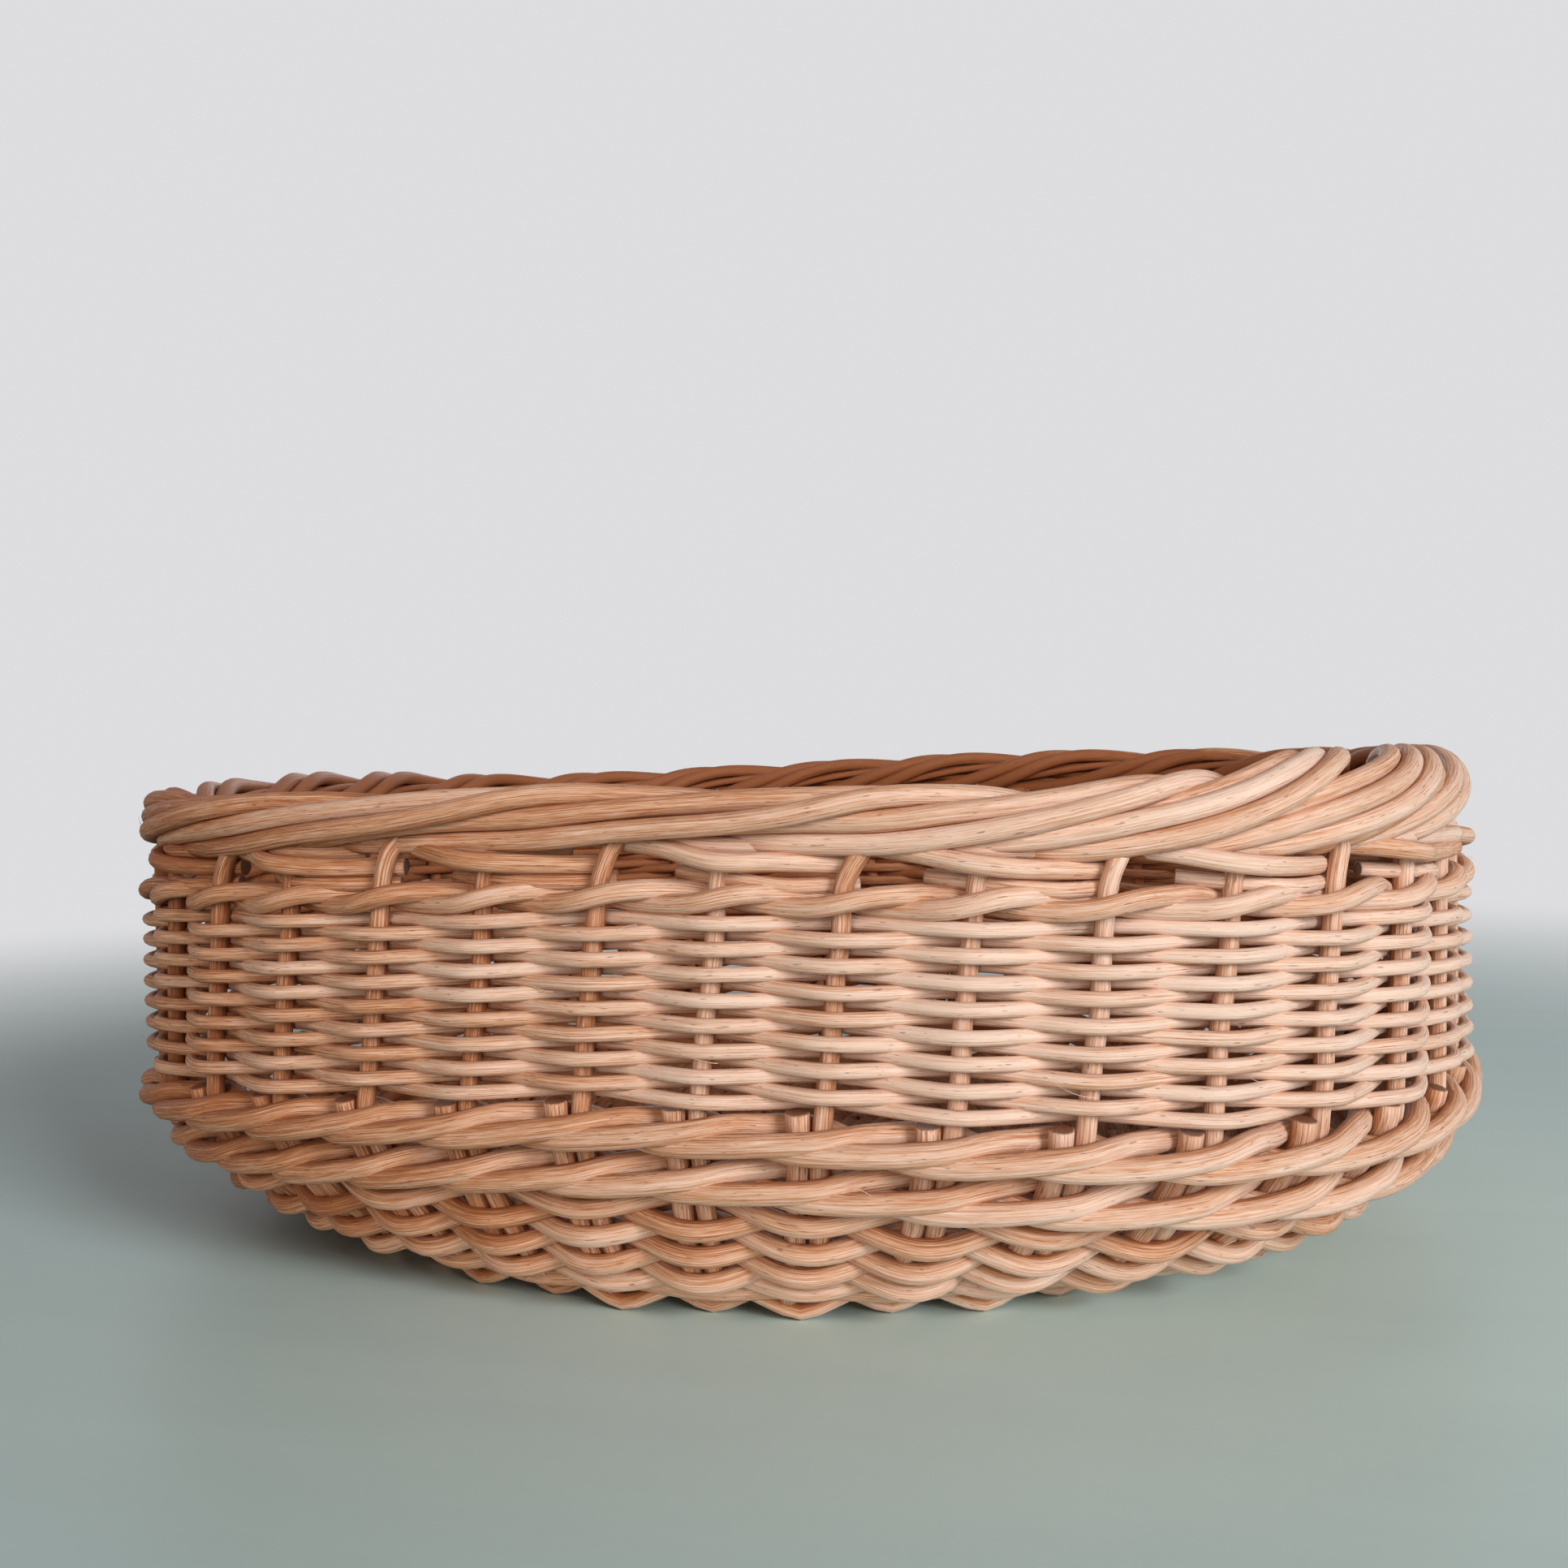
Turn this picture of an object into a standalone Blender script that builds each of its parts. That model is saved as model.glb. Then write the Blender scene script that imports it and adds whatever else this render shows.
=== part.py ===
"""Rattan basket woven in the round, open at the top, standing on its own base.

Sizes are in metres, with +Z up and the origin in the middle of the underside.
Every cane runs on one skin: an oval wall above, drawn in to a round base below.
Along the rim a place is counted in stakes, so stake 3 stands at 3.0.
"""
import math

import bpy
import numpy as np

# Gap left between canes that press on each other
CLEARANCE = 0.0003

# Wall and base, both measured to the middle of the stakes
WALL_HALF_LENGTH = 0.167
WALL_HALF_DEPTH = 0.148
WALL_SQUARENESS = 2.8
BASE_RADIUS = 0.128
FLARE_HEIGHT = 0.046
FLARE_ROUNDNESS = 1.3
FLARE_KNOT_SHARES = (0, 0.12, 0.5, 1)

# The weave lies lower where the flare is long, at the corners of the oval
CORNER_SAG = 0.005
SAG_KNOT_SHARES = (0, 0.2, 1, 1)
BORDER_SAG_SHARE = 0.5

# Radius of each kind of cane
SPOKE_RADIUS = 0.0022
STAKE_RADIUS = 0.0018
LOWER_WEAVER_RADIUS = 0.0017
WALE_RADIUS = 0.0020
SIDE_WEAVER_RADIUS = 0.00108
PAIRING_RADIUS = 0.0019
BAND_RADIUS = 0.0015
BORDER_RADIUS = 0.0021

# Canes that cross in the middle of the base, each with two ends
LENGTHWISE_SPOKES = 11
CROSSWISE_SPOKES = 10
STAKES = 2 * (LENGTHWISE_SPOKES + CROSSWISE_SPOKES)

# Woven rounds, from the base up
LOWER_ROWS = 6
LOWER_START = 0.0092
LOWER_ROOM = 0.0007
WALE_ROD_COUNT = 3
WALE_ROUND_COUNT = 2
WALE_ROOM = 0.0004
STUB_STAND = 0.001
SIDE_ROWS = 15
STAKE_LEAN_SHARE = 0.2
STEP_STAKE = 9
RANDING_STEP_GAPS = 2
WALE_STEP_GAPS = 1
JOIN_SHARE = 0.03

# Base mat round the crossed spokes
MAT_COVER = 0.0029
MAT_SETBACK = 0.0009
MAT_HOLE_MARGIN = 0.010
MAT_CHAMFER = 0.002
SPOKE_PITCH = 0.004
SPOKE_TRIM_SHARE = 0.84

# Border
BAND_OVERLAP_SHARE = 0.05
ROPE_RADIUS = 0.0062
ROPE_STRANDS = 3
ROPE_TURN_STAKE_COUNT = 6
ROPE_TURN_POINT_COUNT = 8
ROPE_LAG_SHARE = 0.28
ROPE_FACE_STAKE = 33.66

# Working resolution
PLAN_SAMPLES = 4096
NORMAL_STEP = 0.0001
FIT_ROUNDS = 20

# Worked out from the sizes above
BASE_MID = SPOKE_RADIUS + MAT_COVER + CLEARANCE
PAIR_SIDE = (SPOKE_RADIUS + STAKE_RADIUS + CLEARANCE) / 2


def plan_tables():
    """The oval's outline as points, with the length run to each in stakes."""
    turn = np.linspace(0, 2 * math.pi, PLAN_SAMPLES + 1)
    across = np.abs(np.cos(turn) / WALL_HALF_LENGTH) ** WALL_SQUARENESS
    along = np.abs(np.sin(turn) / WALL_HALF_DEPTH) ** WALL_SQUARENESS
    radius = (across + along) ** (-1 / WALL_SQUARENESS)
    x = radius * np.cos(turn)
    y = radius * np.sin(turn)
    run = np.concatenate([[0], np.cumsum(np.hypot(np.diff(x), np.diff(y)))])
    return run / run[-1] * STAKES, x, y, run[-1] / STAKES


PLAN_RUN, PLAN_X, PLAN_Y, STAKE_SPACING = plan_tables()


def wall_plan(place):
    """Points of the oval at places counted in stakes."""
    around = np.mod(place, STAKES)
    return np.stack([np.interp(around, PLAN_RUN, PLAN_X), np.interp(around, PLAN_RUN, PLAN_Y)], axis=-1)


def base_plan(place):
    """Points of the round base at places counted in stakes."""
    turn = np.asarray(place) / STAKES * 2 * math.pi
    return BASE_RADIUS * np.stack([np.cos(turn), np.sin(turn)], axis=-1)


def flare_knots():
    """Heights at which the flare bends, and how far each is drawn in."""
    rise = np.array(FLARE_KNOT_SHARES)
    reach = (1 - (1 - rise) ** FLARE_ROUNDNESS) ** (1 / FLARE_ROUNDNESS)
    return BASE_MID + rise * (FLARE_HEIGHT - BASE_MID), 1 - reach


KNOT_HEIGHTS, KNOT_DRAWS = flare_knots()


def corner_share(place):
    """How long the flare is at a place, from 0 where it is shortest to 1 where it is longest."""
    depth = np.linalg.norm(wall_plan(place) - base_plan(place), axis=-1)
    shortest = WALL_HALF_DEPTH - BASE_RADIUS
    return (depth - shortest) / (CORNER_DEPTH - shortest)


def sag(place, height):
    """How far the weave lies below its height at the front, at a place."""
    heights = np.append(KNOT_HEIGHTS, PAIRING_MID)
    shares = np.append(SAG_KNOT_SHARES, BORDER_SAG_SHARE)
    return CORNER_SAG * corner_share(place) * np.interp(height, heights, shares)


def skin(place, height):
    """Points on the skin that the stakes follow."""
    height = np.asarray(height, float) + 0 * np.asarray(place, float)
    drawn = np.interp(height, KNOT_HEIGHTS, KNOT_DRAWS)[..., None]
    wall = wall_plan(place)
    plan = wall + drawn * (base_plan(place) - wall)
    return np.concatenate([plan, (height - sag(place, height))[..., None]], axis=-1)


def unit(vectors):
    return vectors / np.linalg.norm(vectors, axis=-1, keepdims=True)


def skin_axes(place, height):
    """Directions along the rim and out of the skin."""
    step = NORMAL_STEP / STAKE_SPACING
    along = unit(skin(place + step, height) - skin(place - step, height))
    up = unit(skin(place, height + NORMAL_STEP) - skin(place, height - NORMAL_STEP))
    return along, unit(np.cross(along, up))


def on_skin(place, height, out=0, side=0):
    """Points beside the skin, with the direction that faces out there."""
    place = np.asarray(place, float)
    height = np.asarray(height, float) + 0 * place
    along, outward = skin_axes(place, height)
    out = (np.asarray(out) + 0 * place)[..., None]
    side = (np.asarray(side) + 0 * place)[..., None]
    return skin(place, height) + out * outward + side * along, outward


def reach_past(upright, radius, half_width, gap):
    """Offset of a cane that slopes from one side of its uprights to the other across a gap."""
    need = upright + radius + CLEARANCE
    reach = need
    for _ in range(FIT_ROUNDS):
        slope = math.atan(2 * reach / gap)
        reach = need / math.cos(slope) + half_width * math.tan(slope)
    return reach


def lower_heights():
    """Heights of the lower rows, evenly spaced along the steep middle of the front."""
    draw_in = KNOT_DRAWS * (WALL_HALF_DEPTH - BASE_RADIUS)
    run = np.concatenate([[0], np.cumsum(np.hypot(np.diff(draw_in), np.diff(KNOT_HEIGHTS)))])
    first = np.interp(LOWER_START, KNOT_HEIGHTS, run)
    wanted = first + (2 * LOWER_WEAVER_RADIUS + CLEARANCE + LOWER_ROOM) * np.arange(LOWER_ROWS)
    return np.interp(wanted, run, KNOT_HEIGHTS)


# Longest stretch of the flare in plan, at the corners
CORNER_PLACES = np.linspace(0, STAKES, PLAN_SAMPLES)
CORNER_DEPTH = np.max(np.linalg.norm(wall_plan(CORNER_PLACES) - base_plan(CORNER_PLACES), axis=-1))

# Offsets from the skin
BASE_SPACING = 2 * math.pi * BASE_RADIUS / STAKES
LOWER_REACH = reach_past(SPOKE_RADIUS, LOWER_WEAVER_RADIUS, PAIR_SIDE, BASE_SPACING)
WALE_REACH = reach_past(SPOKE_RADIUS, WALE_RADIUS, PAIR_SIDE, STAKE_SPACING)
SIDE_REACH = reach_past(STAKE_RADIUS, SIDE_WEAVER_RADIUS, 0, STAKE_SPACING)
PAIRING_REACH = reach_past(STAKE_RADIUS, PAIRING_RADIUS, 0, STAKE_SPACING)
BAND_REACH = reach_past(STAKE_RADIUS, BAND_RADIUS, 0, STAKE_SPACING)

# Heights of the woven rounds, each stacked on the one below
LOWER_HEIGHTS = lower_heights()
WALE_SWING = WALE_RADIUS + WALE_ROOM
WALE_PITCH = 2 * WALE_SWING + 2 * WALE_RADIUS + CLEARANCE
WALE_MID = LOWER_HEIGHTS[-1] + LOWER_WEAVER_RADIUS + CLEARANCE + WALE_RADIUS + WALE_SWING
WALE_TOP = WALE_MID + (WALE_ROUND_COUNT - 1) * WALE_PITCH + WALE_SWING + WALE_RADIUS
SIDE_PITCH = 2 * SIDE_WEAVER_RADIUS + CLEARANCE
STUB_TOP = WALE_TOP + STUB_STAND
SIDE_BOTTOM = STUB_TOP + CLEARANCE + SIDE_WEAVER_RADIUS
SIDE_TOP = SIDE_BOTTOM + (SIDE_ROWS - 1) * SIDE_PITCH
PAIRING_SWING = PAIRING_RADIUS + CLEARANCE
PAIRING_MID = SIDE_TOP + SIDE_WEAVER_RADIUS + CLEARANCE + PAIRING_RADIUS + PAIRING_SWING
PAIRING_TOP = PAIRING_MID + PAIRING_SWING + PAIRING_RADIUS
BAND_SPREAD = BAND_RADIUS * (1 - BAND_OVERLAP_SHARE)
BAND_MID = PAIRING_TOP + CLEARANCE + BAND_RADIUS + BAND_SPREAD
BAND_TOP = BAND_MID + BAND_SPREAD + BAND_RADIUS
ROPE_MID = BAND_TOP + CLEARANCE + BORDER_RADIUS + ROPE_RADIUS
STAKE_TOP = ROPE_MID - ROPE_RADIUS - BORDER_RADIUS - CLEARANCE


def lean(height):
    """How far, in stakes, the wall's stakes have leaned over at a height."""
    share = (np.asarray(height) - FLARE_HEIGHT) / (PAIRING_MID - FLARE_HEIGHT)
    return STAKE_LEAN_SHARE * np.maximum(share, 0)


def square_section(radius):
    """Four-sided section with the area of a round cane."""
    half = radius * math.sqrt(math.pi) / 2
    return np.array([[half, half], [-half, half], [-half, -half], [half, -half]])


def round_section(radius, sides):
    """Many-sided section of a round cane."""
    turn = (np.arange(sides) + 0.5) / sides * 2 * math.pi
    return radius * np.stack([np.cos(turn), np.sin(turn)], axis=-1)


def paired_section(radius, spread):
    """Section of two canes pressed together, one above the other."""
    waist = radius * math.sqrt(3) / 2
    upper = [[waist, spread + radius / 2], [0, spread + radius], [-waist, spread + radius / 2]]
    lower = [[-waist, -spread - radius / 2], [0, -spread - radius], [waist, -spread - radius / 2]]
    return np.array(upper + lower)


def sweep(points, outward, section, closed=False):
    """Vertices and faces of a cane with its section at every point."""
    if closed:
        ahead = np.roll(points, -1, axis=0) - points
        behind = points - np.roll(points, 1, axis=0)
    else:
        ahead = np.diff(points, axis=0, append=2 * points[-1:] - points[-2:-1])
        behind = np.diff(points, axis=0, prepend=2 * points[:1] - points[1:2])
    forward = unit(unit(ahead) + unit(behind))
    upward = unit(np.cross(outward, forward))
    outward = np.cross(forward, upward)
    rings = points[:, None] + section[None, :, :1] * outward[:, None] + section[None, :, 1:] * upward[:, None]
    count, sides = rings.shape[:2]
    faces = []
    for row in range(count if closed else count - 1):
        here, there = row * sides, (row + 1) % count * sides
        for side in range(sides):
            turned = (side + 1) % sides
            faces.append((here + side, there + side, there + turned, here + turned))
    if not closed:
        faces.append(tuple(range(sides)))
        faces.append(tuple(reversed(range((count - 1) * sides, count * sides))))
    return rings.reshape(-1, 3), faces


def cane_material(name, colour, roughness):
    """A plain material for one kind of cane."""
    material = bpy.data.materials.new(name)
    material.use_nodes = True
    shader = material.node_tree.nodes["Principled BSDF"]
    shader.inputs["Base Color"].default_value = (*colour, 1)
    shader.inputs["Roughness"].default_value = roughness
    shader.inputs["Metallic"].default_value = 0
    material.diffuse_color = (*colour, 1)
    return material


def add_object(name, vertices, faces, material):
    """A mesh object in the scene."""
    mesh = bpy.data.meshes.new(name)
    mesh.from_pydata([tuple(vertex) for vertex in vertices], [], faces)
    if material:
        mesh.materials.append(material)
    thing = bpy.data.objects.new(name, mesh)
    bpy.context.scene.collection.objects.link(thing)
    return thing


def add_cane(name, path, section, material, closed=False):
    """A cane swept along points, with the directions that face out of the skin."""
    points, outward = path
    return add_object(name, *sweep(points, outward, section, closed), material)


def solve_boolean(body, tools, operation):
    """Join or cut a body with each tool in turn, and keep only the result."""
    for tool in tools:
        modifier = body.modifiers.new(tool.name, "BOOLEAN")
        modifier.operation = operation
        modifier.solver = "MANIFOLD"
        modifier.object = tool
        solved = bpy.data.meshes.new_from_object(body.evaluated_get(bpy.context.evaluated_depsgraph_get()))
        body.modifiers.clear()
        body.data = solved
        bpy.data.objects.remove(tool, do_unlink=True)
    return body


# Upright canes
def spoke_path(place):
    """One arm of a base spoke, from the crossing out to its stub above the wale."""
    start = np.array([*crossing_ends()[place], BASE_MID])
    heights = np.append(KNOT_HEIGHTS, STUB_TOP)
    points, outward = on_skin(place, heights, side=-PAIR_SIDE)
    start -= 2 * SPOKE_RADIUS * unit(points[0] - start)
    return np.vstack([start, points]), np.vstack([[0, 0, -1], outward])


def stake_path(place):
    """A stake, set beside its spoke at the base edge and leaning over above the wale."""
    heights = np.append(KNOT_HEIGHTS[1:], [PAIRING_MID, STAKE_TOP])
    return on_skin(place + lean(heights), heights, side=PAIR_SIDE)


def crossing_ends():
    """Where each spoke's arm leaves the crossing, counted round from the arm on +X."""
    rows = (np.arange(LENGTHWISE_SPOKES) - (LENGTHWISE_SPOKES - 1) / 2) * SPOKE_PITCH
    columns = (np.arange(CROSSWISE_SPOKES) - (CROSSWISE_SPOKES - 1) / 2) * SPOKE_PITCH
    half_length, half_depth = crossing_half_sizes()
    right = [(half_length, y) for y in rows]
    back = [(x, half_depth) for x in reversed(columns)]
    left = [(-half_length, y) for y in reversed(rows)]
    front = [(x, -half_depth) for x in columns]
    first = (LENGTHWISE_SPOKES - 1) // 2
    ends = right + back + left + front
    return ends[first:] + ends[:first]


def crossing_half_sizes():
    """Half length and half depth of the block where the spokes cross."""
    return CROSSWISE_SPOKES * SPOKE_PITCH / 2, LENGTHWISE_SPOKES * SPOKE_PITCH / 2


def spoke_section():
    """A square that stays within the spoke's round where weavers slope past it."""
    return SPOKE_TRIM_SHARE * square_section(SPOKE_RADIUS)


def add_spokes(material):
    """The base spokes, locked together where they pierce each other in the middle."""
    half_length, half_depth = crossing_half_sizes()
    block = np.array([[half_length, half_depth], [-half_length, half_depth],
                      [-half_length, -half_depth], [half_length, -half_depth]])
    centre = np.array([[0, 0, BASE_MID - SPOKE_RADIUS], [0, 0, BASE_MID + SPOKE_RADIUS]])
    facing = np.array([[1, 0, 0], [1, 0, 0]])
    spokes = add_cane("base_spokes", (centre, facing), block, material)
    section = spoke_section()
    arms = []
    for place in range(STAKES):
        vertices, faces = sweep(*spoke_path(place), section)
        vertices[-len(section):, 2] = STUB_TOP - sag(place, STUB_TOP)
        arms.append(add_object(f"arm_{place}", vertices, faces, None))
    return solve_boolean(spokes, arms, "UNION")


def mat_rings():
    """Points of the mat's cross-section between every two spokes, just inside the first lower row."""
    between = np.arange(STAKES) + 0.5
    edge = on_skin(between, LOWER_START, out=-LOWER_REACH)[0][:, :2]
    reach = np.linalg.norm(edge, axis=-1, keepdims=True)
    heading = edge / reach
    outer = reach - LOWER_WEAVER_RADIUS - MAT_SETBACK
    hole = math.hypot(*crossing_half_sizes()) + MAT_HOLE_MARGIN + 0 * outer
    bevel = outer - MAT_CHAMFER
    radii = np.hstack([hole, bevel, outer, outer, bevel, hole])
    top = 2 * BASE_MID
    heights = np.array([0, 0, MAT_CHAMFER, top - MAT_CHAMFER, top, top])
    plan = radii[..., None] * heading[:, None]
    return np.concatenate([plan, (heights + 0 * radii)[..., None]], axis=-1)


def add_mat(material):
    """The woven floor, a thick ring that every spoke runs through in its own passage."""
    rings = mat_rings()
    faces = []
    size = rings.shape[1]
    for row in range(STAKES):
        here, there = row * size, (row + 1) % STAKES * size
        for side in range(size):
            turned = (side + 1) % size
            faces.append((here + side, there + side, there + turned, here + turned))
    mat = add_object("base_mat", rings.reshape(-1, 3), faces, material)
    section = spoke_section()
    section += CLEARANCE * np.sign(section)
    passages = []
    for place in range(STAKES):
        points, outward = spoke_path(place)
        passages.append(add_cane(f"passage_{place}", (points[:3], outward[:3]), section, None))
    return solve_boolean(mat, passages, "DIFFERENCE")


# Woven canes
def step_level(run, gaps):
    """Rounds completed after a run of stakes, with the step up in the last gaps of each."""
    whole = np.floor(run / STAKES)
    return whole + np.maximum(run - whole * STAKES - (STAKES - gaps), 0) / gaps


def randing_path(rounds, first_front, reach, side):
    """A cane in front of every second stake, with one height for each of its rounds."""
    run = np.arange(len(rounds) * STAKES - RANDING_STEP_GAPS + 1)
    front = (run + first_front) % 2 == 0
    kept = slice(1 if front[0] else 0, -1 if front[-1] else None)
    run, front = run[kept], front[kept]
    heights = np.interp(step_level(run, RANDING_STEP_GAPS), np.arange(len(rounds)), rounds)
    place = run + STEP_STAKE + 1 + lean(heights)
    return on_skin(place, heights, out=np.where(front, reach, -reach), side=side)


def wale_path(rod):
    """One of the three rods of the wale: in front of two stakes, then behind one."""
    phases = np.array([0, 0.5, 1, 2, 2.5])
    outs = WALE_REACH * np.array([-1, 0, 1, 1, 0])
    rises = WALE_SWING * np.array([0, -1, -1, 1, 1])
    repeats = (WALE_ROUND_COUNT * STAKES - 1 - rod) // WALE_ROD_COUNT
    starts = rod + WALE_ROD_COUNT * np.arange(repeats + 1)
    run = np.append((starts[:-1, None] + phases).ravel(), starts[-1])
    outs = np.append(np.tile(outs, repeats), outs[0])
    rises = np.append(np.tile(rises, repeats), rises[0])
    heights = WALE_MID + step_level(run, WALE_STEP_GAPS) * WALE_PITCH + rises
    return on_skin(run + STEP_STAKE + 1 + lean(heights), heights, out=outs)


def joined_run(points):
    """Places once round the basket whose two ends butt together."""
    run = np.linspace(0, STAKES, points + 1)
    run[0] = JOIN_SHARE
    run[-1] = STAKES - JOIN_SHARE
    return run


def pairing_path(rod):
    """One of the two rods that twist round each other between the stakes."""
    run = joined_run(2 * STAKES)
    heights = PAIRING_MID - PAIRING_SWING * np.sin(math.pi * run)
    place = STEP_STAKE + 1 + rod + run + lean(PAIRING_MID)
    return on_skin(place, heights, out=-PAIRING_REACH * np.cos(math.pi * run), side=PAIR_SIDE)


def band_path():
    """The lower border: tails that run in front of one stake and behind the next."""
    run = joined_run(STAKES)
    place = STEP_STAKE + 1 + run + lean(BAND_MID)
    return on_skin(place, BAND_MID, out=BAND_REACH * np.cos(math.pi * run), side=PAIR_SIDE)


def rope_path(strand, cane):
    """A cane of the twisted border, one of the two in its strand.

    The twist turns evenly but for a lag that keeps each strand longer on the outer face.
    """
    turns = round(STAKES / ROPE_TURN_STAKE_COUNT)
    run = joined_run(turns * ROPE_TURN_POINT_COUNT)
    slope = math.atan(2 * math.pi * ROPE_RADIUS * turns / (STAKES * STAKE_SPACING))
    across = (2 * BORDER_RADIUS + CLEARANCE) / (math.cos(math.pi / ROPE_TURN_POINT_COUNT) * math.cos(slope))
    apart = 2 * math.asin(across / (2 * ROPE_RADIUS))
    place = STEP_STAKE + 1 + run
    even = 2 * math.pi * ((place - ROPE_FACE_STAKE) * turns / STAKES + strand / ROPE_STRANDS)
    angle = even - ROPE_LAG_SHARE * np.sin(even) + (cane - 1 / 2) * apart
    points, outward = on_skin(place, ROPE_MID, out=ROPE_RADIUS * np.cos(angle), side=PAIR_SIDE)
    points[:, 2] += ROPE_RADIUS * np.sin(angle)
    return points, outward


def build():
    """Every cane of the basket, from the base up."""
    for thing in list(bpy.data.objects):
        bpy.data.objects.remove(thing, do_unlink=True)
    spoke_cane = cane_material("spoke_cane", (0.56, 0.36, 0.22), 0.62)
    mat_weave = cane_material("mat_weave", (0.62, 0.42, 0.27), 0.65)
    stake_cane = cane_material("stake_cane", (0.60, 0.40, 0.25), 0.6)
    lower_cane = cane_material("lower_cane", (0.66, 0.45, 0.30), 0.6)
    wale_cane = cane_material("wale_cane", (0.63, 0.42, 0.27), 0.58)
    side_cane = cane_material("side_cane", (0.68, 0.47, 0.31), 0.6)
    pairing_cane = cane_material("pairing_cane", (0.64, 0.43, 0.28), 0.58)
    band_cane = cane_material("band_cane", (0.62, 0.41, 0.27), 0.58)
    border_cane = cane_material("border_cane", (0.60, 0.39, 0.25), 0.55)

    add_spokes(spoke_cane)
    add_mat(mat_weave)
    upright = round_section(STAKE_RADIUS, 5)
    for place in range(STAKES):
        add_cane(f"stake_{place + 1:02d}", stake_path(place), upright, stake_cane)

    lower = square_section(LOWER_WEAVER_RADIUS)
    side = square_section(SIDE_WEAVER_RADIUS)
    side_heights = SIDE_BOTTOM + SIDE_PITCH * np.arange(SIDE_ROWS)
    for index, letter in enumerate("ab"):
        path = randing_path(LOWER_HEIGHTS[index::2], index, LOWER_REACH, 0)
        add_cane(f"lower_weaver_{letter}", path, lower, lower_cane)
        path = randing_path(side_heights[index::2], index, SIDE_REACH, PAIR_SIDE)
        add_cane(f"side_weaver_{letter}", path, side, side_cane)
        add_cane(f"pairing_rod_{letter}", pairing_path(index), round_section(PAIRING_RADIUS, 5), pairing_cane)
    for rod in range(WALE_ROD_COUNT):
        add_cane(f"wale_rod_{rod + 1}", wale_path(rod), round_section(WALE_RADIUS, 5), wale_cane)
    add_cane("border_band", band_path(), paired_section(BAND_RADIUS, BAND_SPREAD), band_cane)
    for strand in range(ROPE_STRANDS):
        for cane, letter in enumerate("ab"):
            path = rope_path(strand, cane)
            add_cane(f"border_cane_{strand + 1}{letter}", path, round_section(BORDER_RADIUS, 5), border_cane)


build()
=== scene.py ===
# %% [markdown]
# # A woven rattan basket
#
# The real basket is nothing but canes: crossed spokes for the floor, stakes pushed in
# beside them for the wall, weavers that run in front of one upright and behind the next,
# and a thick border that twists the ends together. So the model is nothing but canes too,
# each a line worked out with numpy, with a round section carried along it. First the
# packed basket is loaded. Its nodes say how high each woven round lies.

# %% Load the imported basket
import math

import bpy
import numpy as np
from mathutils import Matrix, Vector


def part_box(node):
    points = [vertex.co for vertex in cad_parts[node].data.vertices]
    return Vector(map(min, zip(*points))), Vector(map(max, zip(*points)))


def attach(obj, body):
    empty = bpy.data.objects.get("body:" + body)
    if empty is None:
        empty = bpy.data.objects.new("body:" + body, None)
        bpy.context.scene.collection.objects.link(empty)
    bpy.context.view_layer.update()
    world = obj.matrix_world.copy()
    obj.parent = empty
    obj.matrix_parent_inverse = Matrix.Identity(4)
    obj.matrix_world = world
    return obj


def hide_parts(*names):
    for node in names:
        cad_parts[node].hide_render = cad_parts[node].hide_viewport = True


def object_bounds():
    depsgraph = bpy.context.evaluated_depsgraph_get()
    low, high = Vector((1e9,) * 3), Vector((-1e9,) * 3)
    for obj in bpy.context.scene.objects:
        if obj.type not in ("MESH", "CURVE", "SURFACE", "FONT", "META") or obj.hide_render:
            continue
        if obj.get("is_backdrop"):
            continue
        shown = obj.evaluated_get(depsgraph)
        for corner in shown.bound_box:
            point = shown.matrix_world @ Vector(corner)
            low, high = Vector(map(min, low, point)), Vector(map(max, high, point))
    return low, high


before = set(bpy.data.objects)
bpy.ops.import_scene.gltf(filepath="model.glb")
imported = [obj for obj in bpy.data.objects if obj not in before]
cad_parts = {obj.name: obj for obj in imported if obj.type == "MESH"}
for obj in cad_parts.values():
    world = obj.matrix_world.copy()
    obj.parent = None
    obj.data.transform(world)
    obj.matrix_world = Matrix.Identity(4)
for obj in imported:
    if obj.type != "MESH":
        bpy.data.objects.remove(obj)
CAD_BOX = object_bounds()
BODY, SCENE = "root", bpy.context.scene
print("nodes:", len(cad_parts), "box:", [round(x, 4) for x in (*CAD_BOX[0], *CAD_BOX[1])])

# %% [markdown]
# ## One skin for all the canes
#
# Every cane of a basket lies near one surface, the one that the stakes follow. Its upper
# edge is an oval with full corners, a superellipse, and its foot is a circle. Between
# the two the wall is drawn in along a rounded curve. A place on the rim is counted in
# stakes, because a weaver counts that way.

# %% Sizes of the basket, in metres
STAKES = 42
WALL_HALF_LENGTH, WALL_HALF_DEPTH, WALL_SQUARENESS = 0.165, 0.148, 2.8
BASE_RADIUS = 0.128
FLARE_HEIGHT, FLARE_ROUNDNESS = 0.046, 1.3
CORNER_SAG, BORDER_SAG_SHARE = 0.005, 0.5
STAKE_LEAN = 0.2
TURN = 2 * math.pi
print(STAKES, "stakes round a wall of", 2 * WALL_HALF_LENGTH, "by", 2 * WALL_HALF_DEPTH, "m")

# %% [markdown]
# ## How high each round lies
#
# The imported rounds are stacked, so the tops of two nodes give the middle of what lies
# between them at the front. At the oval's corners, where the flare is longer, all the
# rounds lie a little lower.

# %% Heights at the front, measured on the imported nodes
def top_of(*nodes):
    """The highest point of some nodes."""
    return max(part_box(node)[1].z for node in nodes)


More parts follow.
